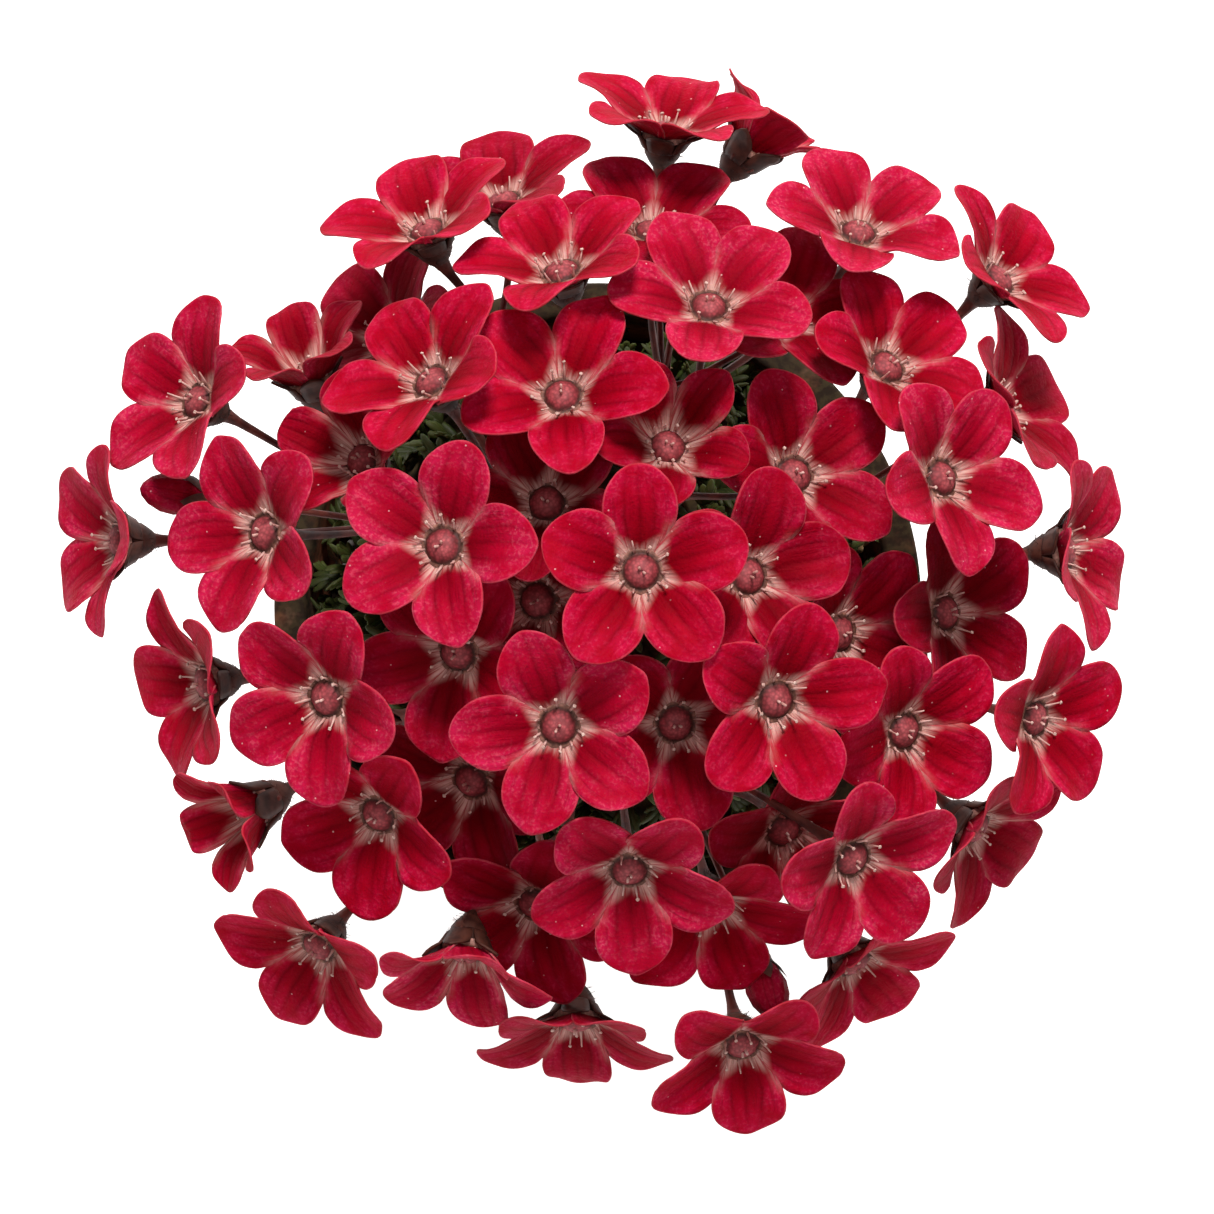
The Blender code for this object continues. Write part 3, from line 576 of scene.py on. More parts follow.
def petal_colour_group():
    """Crimson with darker veins that fan out and soft painted shade along them, pale lower margins and
    claw, and a fine pale rim of painted light.

    The petal's own coordinates give how far a point is across it and along it.
    """
    tree, entry, outlet = new_group(
        "petal_colour",
        (("Tint", "colour"),),
        (("Color", "colour"), ("Roughness", "value"), ("Height", "value")),
    )
    split = surface_place(tree)
    along = (split, "Y")
    mottle = noise(tree, 420.0, 5.0)
    blotch = noise(tree, 110.0, 3.0)

    # How far a point is from the petal's middle line: none on it and one at the side, with a wander
    offset = maths(tree, "MULTIPLY_ADD", blotch, 0.11, (split, "X"))
    offset = maths(tree, "MULTIPLY_ADD", noise(tree, 480.0, 2.0), 0.05, offset)
    side = maths(tree, "ABSOLUTE", maths(tree, "MULTIPLY_ADD", offset, 2.0, -1.16))

    # The veins: a middle one, one on each side and fine streaks between, all fainter at the tip. The
    # soft broad bands round the middle and side veins are painted shade of the grooves that run along
    # them
    shading = maths(tree, "MAXIMUM", band(tree, side, 0.0, 0.17), band(tree, side, SIDE_VEINS, 0.2))
    lines = maths(tree, "MAXIMUM", band(tree, side, 0.0, 0.1), band(tree, side, SIDE_VEINS, 0.085))
    forked = product(tree, band(tree, side, OUTER_VEINS, 0.08), fade(tree, along, 0.4, 0.6))
    lines = maths(tree, "MAXIMUM", lines, product(tree, forked, 0.5))
    broken = product(tree, lines, fade(tree, mottle, 0.3, 0.6))
    veins_and_groove_shade = maths(tree, "ADD", product(tree, shading, 0.5), product(tree, broken, 0.45))
    stretch = node(tree, "ShaderNodeMapping", Scale=(15.0, 2.6, 1.0))
    link(tree, node(tree, "ShaderNodeUVMap", uv_map="place"), stretch, "Vector")
    streaks = noise(tree, 1.0, 3.0, stretch)
    fine = product(tree, fade(tree, streaks, 0.45, 0.72), 0.5)
    reach = maths(tree, "MULTIPLY_ADD", fade(tree, along, 1.0, 0.5), 0.65, 0.22)
    worn = maths(tree, "MULTIPLY_ADD", blotch, 1.0, 0.35)
    vein_and_shade_share = product(tree, maths(tree, "MAXIMUM", veins_and_groove_shade, fine), reach, worn)

    # The ground: deeper down the middle of the foot, brighter and pinker near the margins and the tip,
    # partly the petal's own colour and partly painted sheen. The fine pink flecks, most of them there,
    # are painted sheen
    outer = product(tree, fade(tree, side, 0.15, 0.85), 0.85)
    tipward = product(tree, fade(tree, along, 0.5, 0.95), 0.7)
    lively_and_sheen = product(tree, maths(tree, "MAXIMUM", outer, tipward), fade(tree, mottle, 0.3, 0.7))
    plain = mixed(tree, lively_and_sheen, CRIMSON, BRIGHT_CRIMSON)
    fleck_grain = fade(tree, noise(tree, 2600.0, 3.0), 0.46, 0.7)
    sheen_flecks = product(tree, fleck_grain, maths(tree, "ADD", lively_and_sheen, 0.03))
    ground = mixed(tree, product(tree, sheen_flecks, 0.65), plain, SHEEN_FLECK_PINK)
    foot = product(tree, fade(tree, along, 0.66, 0.34), fade(tree, side, 0.8, 0.1))
    deepened = mixed(tree, product(tree, foot, 0.78), ground, DEEP_CRIMSON)
    veined = mixed(tree, vein_and_shade_share, deepened, VEIN_AND_SHADE_RED)
    tinted = mixed(tree, 1.0, veined, (entry, "Tint"), "MULTIPLY")

    # The pale claw, and the pale lower margins that run up from it
    margins = product(tree, fade(tree, side, 0.6, 0.98), fade(tree, along, 0.52, 0.3))
    claw = fade(tree, maths(tree, "MULTIPLY_ADD", side, -0.14, along), 0.27, 0.13)
    pale = maths(tree, "MAXIMUM", product(tree, margins, 0.62), claw)
    pale_share = product(tree, pale, fade(tree, streaks, 0.25, 0.55), 0.92)
    mottled = mixed(tree, fade(tree, streaks, 0.3, 0.6), CLAW_DUSK, CLAW_PINK)
    clawed = mixed(tree, pale_share, tinted, mottled)
    # A thin paler pink rim along the petal's edge: painted light, where light shines through the thick
    # edge
    rim = (surface_place(tree, "edge"), "X")
    thin = fade(tree, maths(tree, "MULTIPLY_ADD", mottle, 0.02, rim), 0.972, 0.995)
    rimmed = mixed(tree, product(tree, thin, mottle, 0.45), clawed, RIM_LIGHT_PINK)

    # A few tiny pale glands, where the petal passes through the middle of a cell
    cells = fixed_to_object(tree, node(tree, "ShaderNodeTexVoronoi", Scale=GLANDS_PER_METRE))
    chosen = tree.nodes.new("ShaderNodeSeparateColor")
    link(tree, (cells, "Color"), chosen, "Color")
    few = product(tree, fade(tree, (chosen, "Red"), 0.6, 0.9), 0.6)
    gland_share = product(tree, fade(tree, (cells, "Distance"), 0.095, 0.045), few)
    link(tree, mixed(tree, gland_share, rimmed, GLAND_WHITE), outlet, "Color")

    link(tree, maths(tree, "MULTIPLY_ADD", mottle, 0.25, 0.42), outlet, "Roughness")
    grain = noise(tree, 2600.0, 3.0)
    link(tree, maths(tree, "MULTIPLY_ADD", vein_and_shade_share, -1.3, grain), outlet, "Height")
    return tree


def speckle_group():
    """A living or earthy surface: its colour wanders between two shades, with a fine grain."""
    tree, entry, outlet = new_group(
        "speckle",
        (("Dark", "colour"), ("Light", "colour"), ("Scale", "value")),
        (("Color", "colour"), ("Height", "value")),
    )
    grain = fixed_to_object(tree, node(tree, "ShaderNodeTexNoise", Detail=4.0))
    link(tree, (entry, "Scale"), grain, "Scale")
    share = fade(tree, (grain, "Fac"), 0.3, 0.7)
    link(tree, mixed(tree, share, (entry, "Dark"), (entry, "Light")), outlet, "Color")
    link(tree, (grain, "Fac"), outlet, "Height")
    return tree


petal_colour = petal_colour_group()
speckle = speckle_group()


def petal_material(name, tint):
    """Soft matt petals with a faint sheen, through which a little light comes."""
    made, tree, shader = new_material(
        name,
        0.55,
        Specular_IOR_Level=0.02,
        Sheen_Weight=0.01,
        Sheen_Roughness=0.4,
        Sheen_Tint=(1, 0.3, 0.42, 1),
        Subsurface_Weight=0.08,
        Subsurface_Radius=(0.8, 0.02, 0.05),
        Subsurface_Scale=0.6 * MM,
    )
    marks = placed_group(tree, petal_colour, Tint=tint)
    link(tree, (marks, "Color"), shader, "Base Color")
    link(tree, (marks, "Roughness"), shader, "Roughness")
    bumped(tree, shader, (marks, "Height"), 0.5, 0.25 * MM)
    return made


def speckled_material(name, dark, light, roughness, scale):
    """A dull surface that wanders between two shades, finer with a larger scale."""
    made, tree, shader = new_material(name, roughness, Specular_IOR_Level=0.25)
    grain = placed_group(tree, speckle, Dark=dark, Light=light, Scale=scale)
    link(tree, (grain, "Color"), shader, "Base Color")
    bumped(tree, shader, (grain, "Height"), 0.3, 0.08 * MM)
    return made


# The ovary's colours from the claws, over the dark ring and up to the top of the dome
OVARY_RINGS = (
    (0.0, (0.5, 0.28, 0.23)),
    (0.2, (0.3, 0.14, 0.1)),
    (0.31, (0.17, 0.07, 0.05)),
    (0.41, (0.08, 0.028, 0.019)),
    (0.5, (0.1, 0.022, 0.02)),
    (0.62, (0.29, 0.04, 0.05)),
    (0.8, (0.42, 0.085, 0.095)),
    (0.95, (0.36, 0.07, 0.08)),
    (1.0, (0.22, 0.025, 0.035)),
)


def ovary_material():
    """The dull red-brown ovary with its dark ring and fine pits."""
    made, tree, shader = new_material("ovary", 0.6, Specular_IOR_Level=0.25)
    wander = maths(tree, "MULTIPLY_ADD", noise(tree, 1100.0, 3.0), 0.26, -0.13)
    rings = ramp(tree, OVARY_RINGS, maths(tree, "ADD", (surface_place(tree), "Y"), wander))
    pits = fixed_to_object(tree, node(tree, "ShaderNodeTexVoronoi", Scale=2600.0))
    shade = ramp(tree, ((0.1, (1.25, 1.15, 1.15)), (0.7, (0.45, 0.4, 0.4))), (pits, "Distance"))
    link(tree, mixed(tree, 0.7, rings, shade, "MULTIPLY"), shader, "Base Color")
    bumped(tree, shader, (pits, "Distance"), 0.4, 0.1 * MM)
    return made


# Petal tints, from the blooms with none over them to those with the most: painted shade, as a bloom's
# petals are darker the more blooms stand over it
PETAL_TINTS = ((0.98, 1.15, 1.05), (0.92, 0.45, 0.7), (0.74, 0.48, 0.6), (0.57, 0.34, 0.45))
OVERHANG_REACH = 15 * MM
OVERHANG_RISE = 3 * MM
petal_finishes = [petal_material(f"petals_{n}", tint) for n, tint in enumerate(PETAL_TINTS)]
ovary_finish = ovary_material()
filament_finish = speckled_material("filaments", (0.45, 0.2, 0.17), (0.7, 0.45, 0.4), 0.5, 900.0)
anther_finish = speckled_material("anthers", (0.45, 0.26, 0.22), (0.72, 0.52, 0.45), 0.7, 2600.0)

bloom_nodes = sorted(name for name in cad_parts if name.startswith("bloom_"))
bloom_poses = {name: bloom_pose(name) for name in bloom_nodes}


def blooms_above(name):
    """How many blooms stand over a bloom and shade it."""
    here = bloom_poses[name][0].translation
    count = 0
    for pose, _ in bloom_poses.values():
        gap = pose.translation - here
        if gap.z > OVERHANG_RISE and gap.xy.length < OVERHANG_REACH:
            count += 1
    return count


for name in bloom_nodes:
    pose, closed = bloom_poses[name]
    draw = random.Random(name)
    skin = Skin()
    for k in range(PETALS):
        add_petal(skin, k, draw, closed)
    add_ovary(skin, draw)
    add_stamens(skin, draw, closed)
    add_styles(skin, draw)
    # Painted shade: the more blooms stand over a bloom, the darker its petals. Some blooms with none
    # over them take the second tint at random
    shade_step = min(max(blooms_above(name), draw.choice((0, 0, 1))), len(petal_finishes) - 1)
    finishes = [petal_finishes[shade_step], ovary_finish, filament_finish, anther_finish]
    piece = skin.build(f"{name}_flower", finishes, pose)
    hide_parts(name)
    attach(piece, "root")

# The stems, stalks and buds
# Thin dark red-brown stems rise through the leaves, branch, and end in a calyx under each bloom or in
# a closed bud. They grew as one piece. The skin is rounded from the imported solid's own form.
STEM_DARK = (0.04, 0.008, 0.006)
STEM_LIGHT = (0.15, 0.035, 0.024)
WELD = 0.01 * MM


def rounded_copy(node_name, name, levels, finish):
    """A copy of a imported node's mesh, its points welded, rounded by subdivision."""
    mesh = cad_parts[node_name].data.copy()
    mesh.name = name
    obj = added(name, mesh)
    work = bmesh.new()
    work.from_mesh(mesh)
    bmesh.ops.remove_doubles(work, verts=list(work.verts), dist=WELD)
    all_axes = {"use_axis_x": True, "use_axis_y": True, "use_axis_z": True}
    bmesh.ops.smooth_vert(work, verts=list(work.verts), factor=0.1, **all_axes)
    work.to_mesh(mesh)
    work.free()
    rounding = obj.modifiers.new("rounding", "SUBSURF")
    rounding.levels = levels
    rounding.render_levels = levels
    graph = bpy.context.evaluated_depsgraph_get()
    rounded = bpy.data.meshes.new_from_object(obj.evaluated_get(graph))
    obj.modifiers.clear()
    obj.data = rounded
    rounded.materials.clear()
    rounded.materials.append(finish)
    rounded.polygons.foreach_set("use_smooth", np.ones(len(rounded.polygons), dtype=bool))
    return obj


stem_finish = speckled_material("stems", STEM_DARK, STEM_LIGHT, 0.6, 420.0)
stems = rounded_copy("flower_stems", "stem_skin", 2, stem_finish)
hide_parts("flower_stems")
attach(stems, "root")

# The calyces
# Under each bloom a small cup of five pointed sepals clasps the petals. It is dark brown-green and
# covered in short sticky hairs, and it grew with the stalk.
SEPAL_FOOT = 1.9 * MM
SEPAL_LENGTH = 2.9 * MM
SEPAL_SPREAD = 0.6
SEPAL_SHEET = 0.28 * MM
SEPAL_ROWS = 8
SEPAL_COLUMNS = 5
# How much of a sepal's reach counts along the petals on its two sides, and its room below them
SEPAL_BETWEEN = 0.81
SEPAL_ROOM = 0.5 * MM
CALYX_CUP = (
    (0.55 * MM, -4.9 * MM),
    (0.85 * MM, -4.2 * MM),
    (1.5 * MM, -3.4 * MM),
    (2.05 * MM, -2.5 * MM),
    (2.2 * MM, -1.6 * MM),
    (2.2 * MM, -0.7 * MM),
)
CALYX_SIDES = 16
CALYX_HAIRS = 46
# The least and the most of a hair's length, in mm, and its radii at shares of that
HAIR_LENGTH = (0.35, 0.6)
HAIR_SHARES = (0, 0.8, 0.92, 1)
HAIR_RADII = (0.03 * MM, 0.022 * MM, 0.055 * MM, 0.02 * MM)


def add_sepal(skin, angle, closed):
    """One broad pointed sepal that lies along the backs of two petals."""
    points = []
    for i in range(SEPAL_ROWS):
        share = i / (SEPAL_ROWS - 1)
        reach = SEPAL_FOOT + SEPAL_LENGTH * share * (1 - 0.6 * closed)
        back = cup_height(SEPAL_BETWEEN * reach / (PETAL_REACH * (1 - closed)), closed) - SEPAL_ROOM
        turn = smooth_step(share / 0.45)
        rise = (1 - turn) * -1.8 * MM + turn * back
        spread = SEPAL_SPREAD * (1 - share**2.2) + 0.01
        for j in range(SEPAL_COLUMNS):
            t = 2 * j / (SEPAL_COLUMNS - 1) - 1
            points.append(round_point(reach, t * spread, rise))
    upper = np.array(points)
    lower = upper - SEPAL_SHEET * surface_normals(upper, SEPAL_ROWS, SEPAL_COLUMNS)
    both = moved(np.concatenate([upper, lower]), Matrix.Rotation(angle, 4, "Z"))
    skin.add(both, sheet_faces(SEPAL_ROWS, SEPAL_COLUMNS))


def profile_radius(profile, height):
    """The radius of a turned form at a height, from its (radius, height) pairs."""
    radii, heights = zip(*profile)
    return np.interp(height, heights, radii)


def add_hairs(skin, draw):
    """Short hairs with a round sticky tip, all over the cup."""
    for _ in range(CALYX_HAIRS):
        angle = draw.uniform(0, TURN)
        height = -4.6 * MM + 3.2 * MM * draw.random()
        radius = profile_radius(CALYX_CUP, height)
        out = Vector(round_point(1, angle, draw.uniform(-0.3, 0.1))).normalized()
        foot = Vector(round_point(radius, angle, height))
        length = draw.uniform(*HAIR_LENGTH) * MM
        tube_skin(skin, [foot + share * length * out for share in HAIR_SHARES], HAIR_RADII, 4, 0)


calyx_finish = speckled_material("calyces", (0.03, 0.008, 0.005), (0.085, 0.026, 0.016), 0.6, 700.0)
calyces = Skin()
for name in bloom_nodes:
    pose, closed = bloom_poses[name]
    draw = random.Random(name + " calyx")
    one = Skin()
    turned_skin(one, CALYX_CUP, CALYX_SIDES, 0)
    for k in range(PETALS):
        add_sepal(one, (k + 0.5) * PETAL_TURN, closed)
    add_hairs(one, draw)
    calyces.add_skin(one, pose)
calyx_piece = calyces.build("calyces", [calyx_finish])
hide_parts("flower_stems")
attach(calyx_piece, "root")

# The buds
# Two flower buds are still shut. Each is a dark red cone of rolled petals that rises out of five short
# sepals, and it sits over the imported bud. It grew as one piece with its stalk.
BUD_SIDES = 30
# Where each bud stands, in mm, and the way that it points
BUDS = (
    ((-43.96, 12.08, 137.35), (-0.952, 0.134, 0.276)),
    ((18.21, -40.38, 132.07), (0.312, -0.858, 0.407)),
)
BUD_PROFILE = (
    (1.4 * MM, 0.9 * MM),
    (2.0 * MM, 2.0 * MM),
    (2.35 * MM, 3.6 * MM),
    (2.15 * MM, 5.2 * MM),
    (1.5 * MM, 6.7 * MM),
    (0.7 * MM, 7.6 * MM),
    (0.0, 7.9 * MM),
)
BUD_SEPAL_FOOT = 0.2 * MM
BUD_SEPAL_LENGTH = 3.4 * MM
BUD_SEPAL_ROOM = 0.3 * MM


def add_rolled_petals(skin):
    """The bud's petals, rolled into a cone with soft spiral ribs."""
    points = []
    places = []
    for n, (radius, height) in enumerate(BUD_PROFILE):
        for i in range(BUD_SIDES):
            angle = TURN * i / BUD_SIDES
            rib = abs(math.sin(2.5 * angle - 130 * height))
            swell = radius * (0.95 + 0.12 * rib)
            points.append(round_point(swell, angle, height))
            places.append((0.5 + 0.4 * rib, 0.6 + 0.4 * n / len(BUD_PROFILE)))
    skin.add(points, grid_faces(len(BUD_PROFILE), BUD_SIDES, wrap=True), 0, places)


def add_bud_sepal(skin, middle):
    """One short pointed sepal wrapped round the bud's foot."""
    points = []
    for i in range(SEPAL_ROWS):
        share = i / (SEPAL_ROWS - 1)
        height = BUD_SEPAL_FOOT + BUD_SEPAL_LENGTH * share
        radius = profile_radius(BUD_PROFILE, height)
        for j in range(SEPAL_COLUMNS):
            t = 2 * j / (SEPAL_COLUMNS - 1) - 1
            angle = middle + t * (0.64 * (1 - share**1.6) + 0.01)
            points.append(round_point(radius + BUD_SEPAL_ROOM, angle, height))
    skin.add(points, grid_faces(SEPAL_ROWS, SEPAL_COLUMNS), 1)


bud_finish = petal_material("bud_petals", (0.5, 0.4, 0.45))
buds = Skin()
for place, way in BUDS:
    one = Skin()
    add_rolled_petals(one)
    for k in range(PETALS):
        add_bud_sepal(one, k * PETAL_TURN)
    turn = Vector(way).to_track_quat("Z", "Y").to_matrix().to_4x4()
    buds.add_skin(one, Matrix.Translation(MM * Vector(place)) @ turn)
bud_piece = buds.build("buds", [bud_finish, calyx_finish])
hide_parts("flower_stems")
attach(bud_piece, "root")

# The leaf cushion
# Crowded rosettes of small leaves, each cut into narrow fingers, cover a low mound that fills the top
# of the pot. The oldest leaves lie dead and brown at its base.
SOIL_TOP = 72 * MM
CUSHION_TOP = 97 * MM
CUSHION_RADIUS = 32 * MM
GOLDEN_ANGLE = math.radians(137.508)
ROSETTES = 74
ROSETTE_SPREAD = math.radians(88)
ROSETTE_ENDS = (0, 26, 50, ROSETTES)
# How steep a leaf stands, in degrees, and how long it is, in mm, in the middle of its rosette, and how
# much less steep and how much longer it is at the outside
LEAF_STEEPNESS = 82
LEAF_FALL = 58
LEAF_LENGTH = 7.2
LEAF_GROWTH = 4.2
STALK_WIDTH = 1.3 * MM
FINGER_WIDTH = 1.25 * MM
# Each finger of a leaf: the way that it points off the middle one, and its share of that one's length
FINGERS = ((0.0, 1.0), (0.52, 0.86), (-0.52, 0.86), (1.0, 0.62), (-1.0, 0.62))


def cushion_point(slant, azimuth):
    """A point on the cushion's mound and the way out of it there. slant is 0 at its top."""
    rise = CUSHION_TOP - SOIL_TOP
    flat = Vector(round_point(1, azimuth))
    point = CUSHION_RADIUS * math.sin(slant) * flat
    point.z = SOIL_TOP + rise * math.cos(slant)
    out = (math.sin(slant) / CUSHION_RADIUS) * flat
    out.z = math.cos(slant) / rise
    return point, out.normalized()


def finger(skin, base, way, face, length, width, finish, leaf_share):
    """A flat, narrow, round-tipped finger of a leaf."""
    side = face.cross(way).normalized()
    shares = (0.0, 0.35, 0.7, 0.92, 1.0)
    widths = (0.62, 0.95, 1.0, 0.66, 0.14)
    section = ((-1, 0), (-0.5, 0.5), (0.5, 0.5), (1, 0), (0, -0.55))
    points = []
    places = []
    for share, wide in zip(shares, widths):
        middle = base + way * length * share + face * length * 0.1 * math.sin(math.pi * share)
        for across, up in section:
            sideways = side * across * 0.5 * width * wide
            upwards = face * up * 0.42 * width * wide
            points.append(middle + sideways + upwards)
            places.append((0.5 + 0.5 * across, leaf_share + (1 - leaf_share) * share))
    skin.add(points, flipped(capped_faces(len(shares), len(section))), finish, places)


def add_leaf(skin, foot, way, face, length, draw, finish):
    """One cut leaf: a flat stalk, then three to five fingers that fan out from its end."""
    side = face.cross(way).normalized()
    stalk = 0.5 * length
    finger(skin, foot, way, face, stalk * 1.1, STALK_WIDTH, finish, 0.0)
    palm = foot + way * stalk + face * stalk * 0.05
    for angle, share in FINGERS[: draw.choice((3, 5, 5))]:
        bend = 0.62 * angle + draw.uniform(-0.08, 0.08)
        out = (math.cos(bend) * way + math.sin(bend) * side).normalized()
        reach = (length - stalk) * share * draw.uniform(0.9, 1.1)
        finger(skin, palm - out * 0.3 * MM, out, face, reach, FINGER_WIDTH, finish, 0.5)


def leaf_colour_group():
    """Green in patches, lighter towards each finger's tip, with a fine cell grain."""
    tree, entry, outlet = new_group(
        "leaf_colour",
        (("Young", "colour"), ("Old", "colour"), ("Tip", "colour")),
        (("Color", "colour"), ("Height", "value")),
    )
    patches = fade(tree, noise(tree, 90.0, 3.0), 0.35, 0.65)
    greens = mixed(tree, patches, (entry, "Old"), (entry, "Young"))
    tip_share = product(tree, fade(tree, (surface_place(tree), "Y"), 0.45, 1.0), 0.75)
    link(tree, mixed(tree, tip_share, greens, (entry, "Tip")), outlet, "Color")
    link(tree, noise(tree, 1800.0, 2.0), outlet, "Height")
    return tree


leaf_colour = leaf_colour_group()


def leaf_material(name, young, old, tip):
    """Matt leaves, through which a little light comes."""
    made, tree, shader = new_material(
        name,
        0.5,
        Specular_IOR_Level=0.2,
        Subsurface_Weight=0.1,
        Subsurface_Radius=(0.2, 0.5, 0.1),
        Subsurface_Scale=0.6 * MM,
    )
    shades = placed_group(tree, leaf_colour, Young=young, Old=old, Tip=tip)
    link(tree, (shades, "Color"), shader, "Base Color")
    bumped(tree, shader, (shades, "Height"), 0.25, 0.1 * MM)
    return made


# Each kind of leaf: the colours of its young parts, its old parts and its tips
LEAF_SHADES = {
    "fresh_leaves": ((0.048, 0.068, 0.014), (0.025, 0.036, 0.008), (0.08, 0.095, 0.024)),
    "shaded_leaves": ((0.03, 0.042, 0.01), (0.016, 0.022, 0.006), (0.048, 0.058, 0.015)),
    "dead_leaves": ((0.2, 0.12, 0.05), (0.11, 0.06, 0.03), (0.26, 0.17, 0.08)),
}
FRESH, SHADED, DEAD = range(3)
leaf_finishes = [leaf_material(name, *shades) for name, shades in LEAF_SHADES.items()]


def near_to(node_name):
    """A node's mesh in a form that finds the nearest place on it."""
    points, triangles = node_mesh(node_name)
    return BVHTree.FromPolygons(points.tolist(), triangles.tolist())


STEM_ROOM = 1.0 * MM
POT_ROOM = 0.7 * MM
leaf_rooms = ((near_to("flower_stems"), STEM_ROOM), (near_to("pot"), POT_ROOM))


def leaf_is_clear(foot, way, length):
    """True where a leaf's middle line keeps off the stems and the pot."""
    for share in (0.3, 0.6, 1.0):
        point = foot + way * length * share
        for tree, room in leaf_rooms:
            if tree.find_nearest(point, room)[0] is not None:
                return False
    return True


def add_rosette(skin, n, draw):
    """A crowded rosette: young upright leaves in its middle, old flat ones round them."""
    slant = ROSETTE_SPREAD * math.sqrt((n + 0.4) / ROSETTES)
    point, out = cushion_point(slant, 0.3 + n * GOLDEN_ANGLE)
    helper = Vector((0.3, 1, 0.2)) if abs(out.y) < 0.8 else Vector((1, 0.2, 0.1))
    across = out.cross(helper).normalized()
    other = out.cross(across)
    leaves = draw.choice((9, 10, 11))
    for k in range(leaves):
        ring = k / leaves
        azimuth = k * GOLDEN_ANGLE + n
        spread = math.cos(azimuth) * across + math.sin(azimuth) * other
        rise = math.radians(LEAF_STEEPNESS - LEAF_FALL * ring + draw.uniform(-6, 6))
        way = (math.cos(rise) * spread + math.sin(rise) * out).normalized()
        face = (math.cos(rise) * out - math.sin(rise) * spread).normalized()
        length = (LEAF_LENGTH + LEAF_GROWTH * ring + draw.uniform(-0.6, 0.6)) * MM
        foot = point + 0.7 * MM * spread - 1.5 * MM * out
        if leaf_is_clear(foot, way, length):
            finish = FRESH if ring < 0.55 else SHADED
            if slant > 1.2 and ring > 0.75 and draw.random() < 0.5:
                finish = DEAD
            add_leaf(skin, foot, way, face, length, draw, finish)


for third in range(3):
    skin = Skin()
    draw = random.Random(f"leaves {third}")
    for n in range(ROSETTE_ENDS[third], ROSETTE_ENDS[third + 1]):
        add_rosette(skin, n, draw)
    piece = skin.build(f"rosettes_{third + 1}", leaf_finishes)
    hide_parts("leaf_cushion")
    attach(piece, "root")

# The cushion's heart
# Under the rosettes lies a dense mat of old shoots and dead leaves, brown and rough.
MAT_ROWS = 40
MAT_COLUMNS = 120
# The least and the most, in mm, that the mat lies under the mound's own surface
MAT_DEPTH = (0.3, 1.8)


def mat_skin():
    """The mound's surface, roughened and a little under the rosettes' feet."""
    draw = random.Random("mat")
    points = []
    for i in range(MAT_ROWS):
        slant = math.pi / 2 * i / (MAT_ROWS - 1)
        for j in range(MAT_COLUMNS):
            azimuth = TURN * j / MAT_COLUMNS
            point, out = cushion_point(slant, azimuth)
            points.append(point - out * draw.uniform(*MAT_DEPTH) * MM)
    skin = Skin()
    skin.add(points, flipped(grid_faces(MAT_ROWS, MAT_COLUMNS, wrap=True)))
    return skin


mat_finish = speckled_material("old_shoots", (0.02, 0.013, 0.007), (0.09, 0.06, 0.025), 0.9, 500.0)
mat = mat_skin().build("old_shoots", [mat_finish])
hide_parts("leaf_cushion")
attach(mat, "root")

# The compost
# Dark peaty compost, crumbly, with bits of grit and pale perlite, pressed in by hand to just below
# the pot's rim.
POT_HEIGHT = 82 * MM
POT_TOP_RADIUS = 41 * MM
POT_FOOT_RADIUS = 27.5 * MM
POT_WALL = 4.2 * MM
SOIL_SHOULDER = SOIL_TOP - 2.4 * MM
SOIL_BOTTOM = 6.2 * MM
SOIL_ROOM = 0.8 * MM
SOIL_ROWS = 60
SOIL_COLUMNS = 180
CRUMBS = 620
PERLITE_SHARE = 0.08
# The least and the most of a crumb's radius, in mm
CRUMB_SIZES = (0.35, 1.1)


def pot_inside(height):
    """The radius of the pot's inner wall at a height."""
    top = POT_TOP_RADIUS - POT_WALL
    foot = POT_FOOT_RADIUS - POT_WALL
    return foot + (top - foot) * height / POT_HEIGHT


def crumb(skin, at, size, draw, finish):
    """One small uneven lump."""
    steps = 5
    sides = 7
    points = []
    for i in range(steps):
        slant = math.pi * (i + 0.5) / steps
        for j in range(sides):
            angle = TURN * j / sides
            radius = size * draw.uniform(0.75, 1.1)
            up = 0.8 * radius * math.cos(slant)
            points.append(np.add(at, round_point(radius * math.sin(slant), angle, up)))
    skin.add(points, flipped(capped_faces(steps, sides)), finish)


def soil_ring(radius, height):
    """Points round the pot at one height."""
    return [round_point(radius, TURN * j / SOIL_COLUMNS, height) for j in range(SOIL_COLUMNS)]


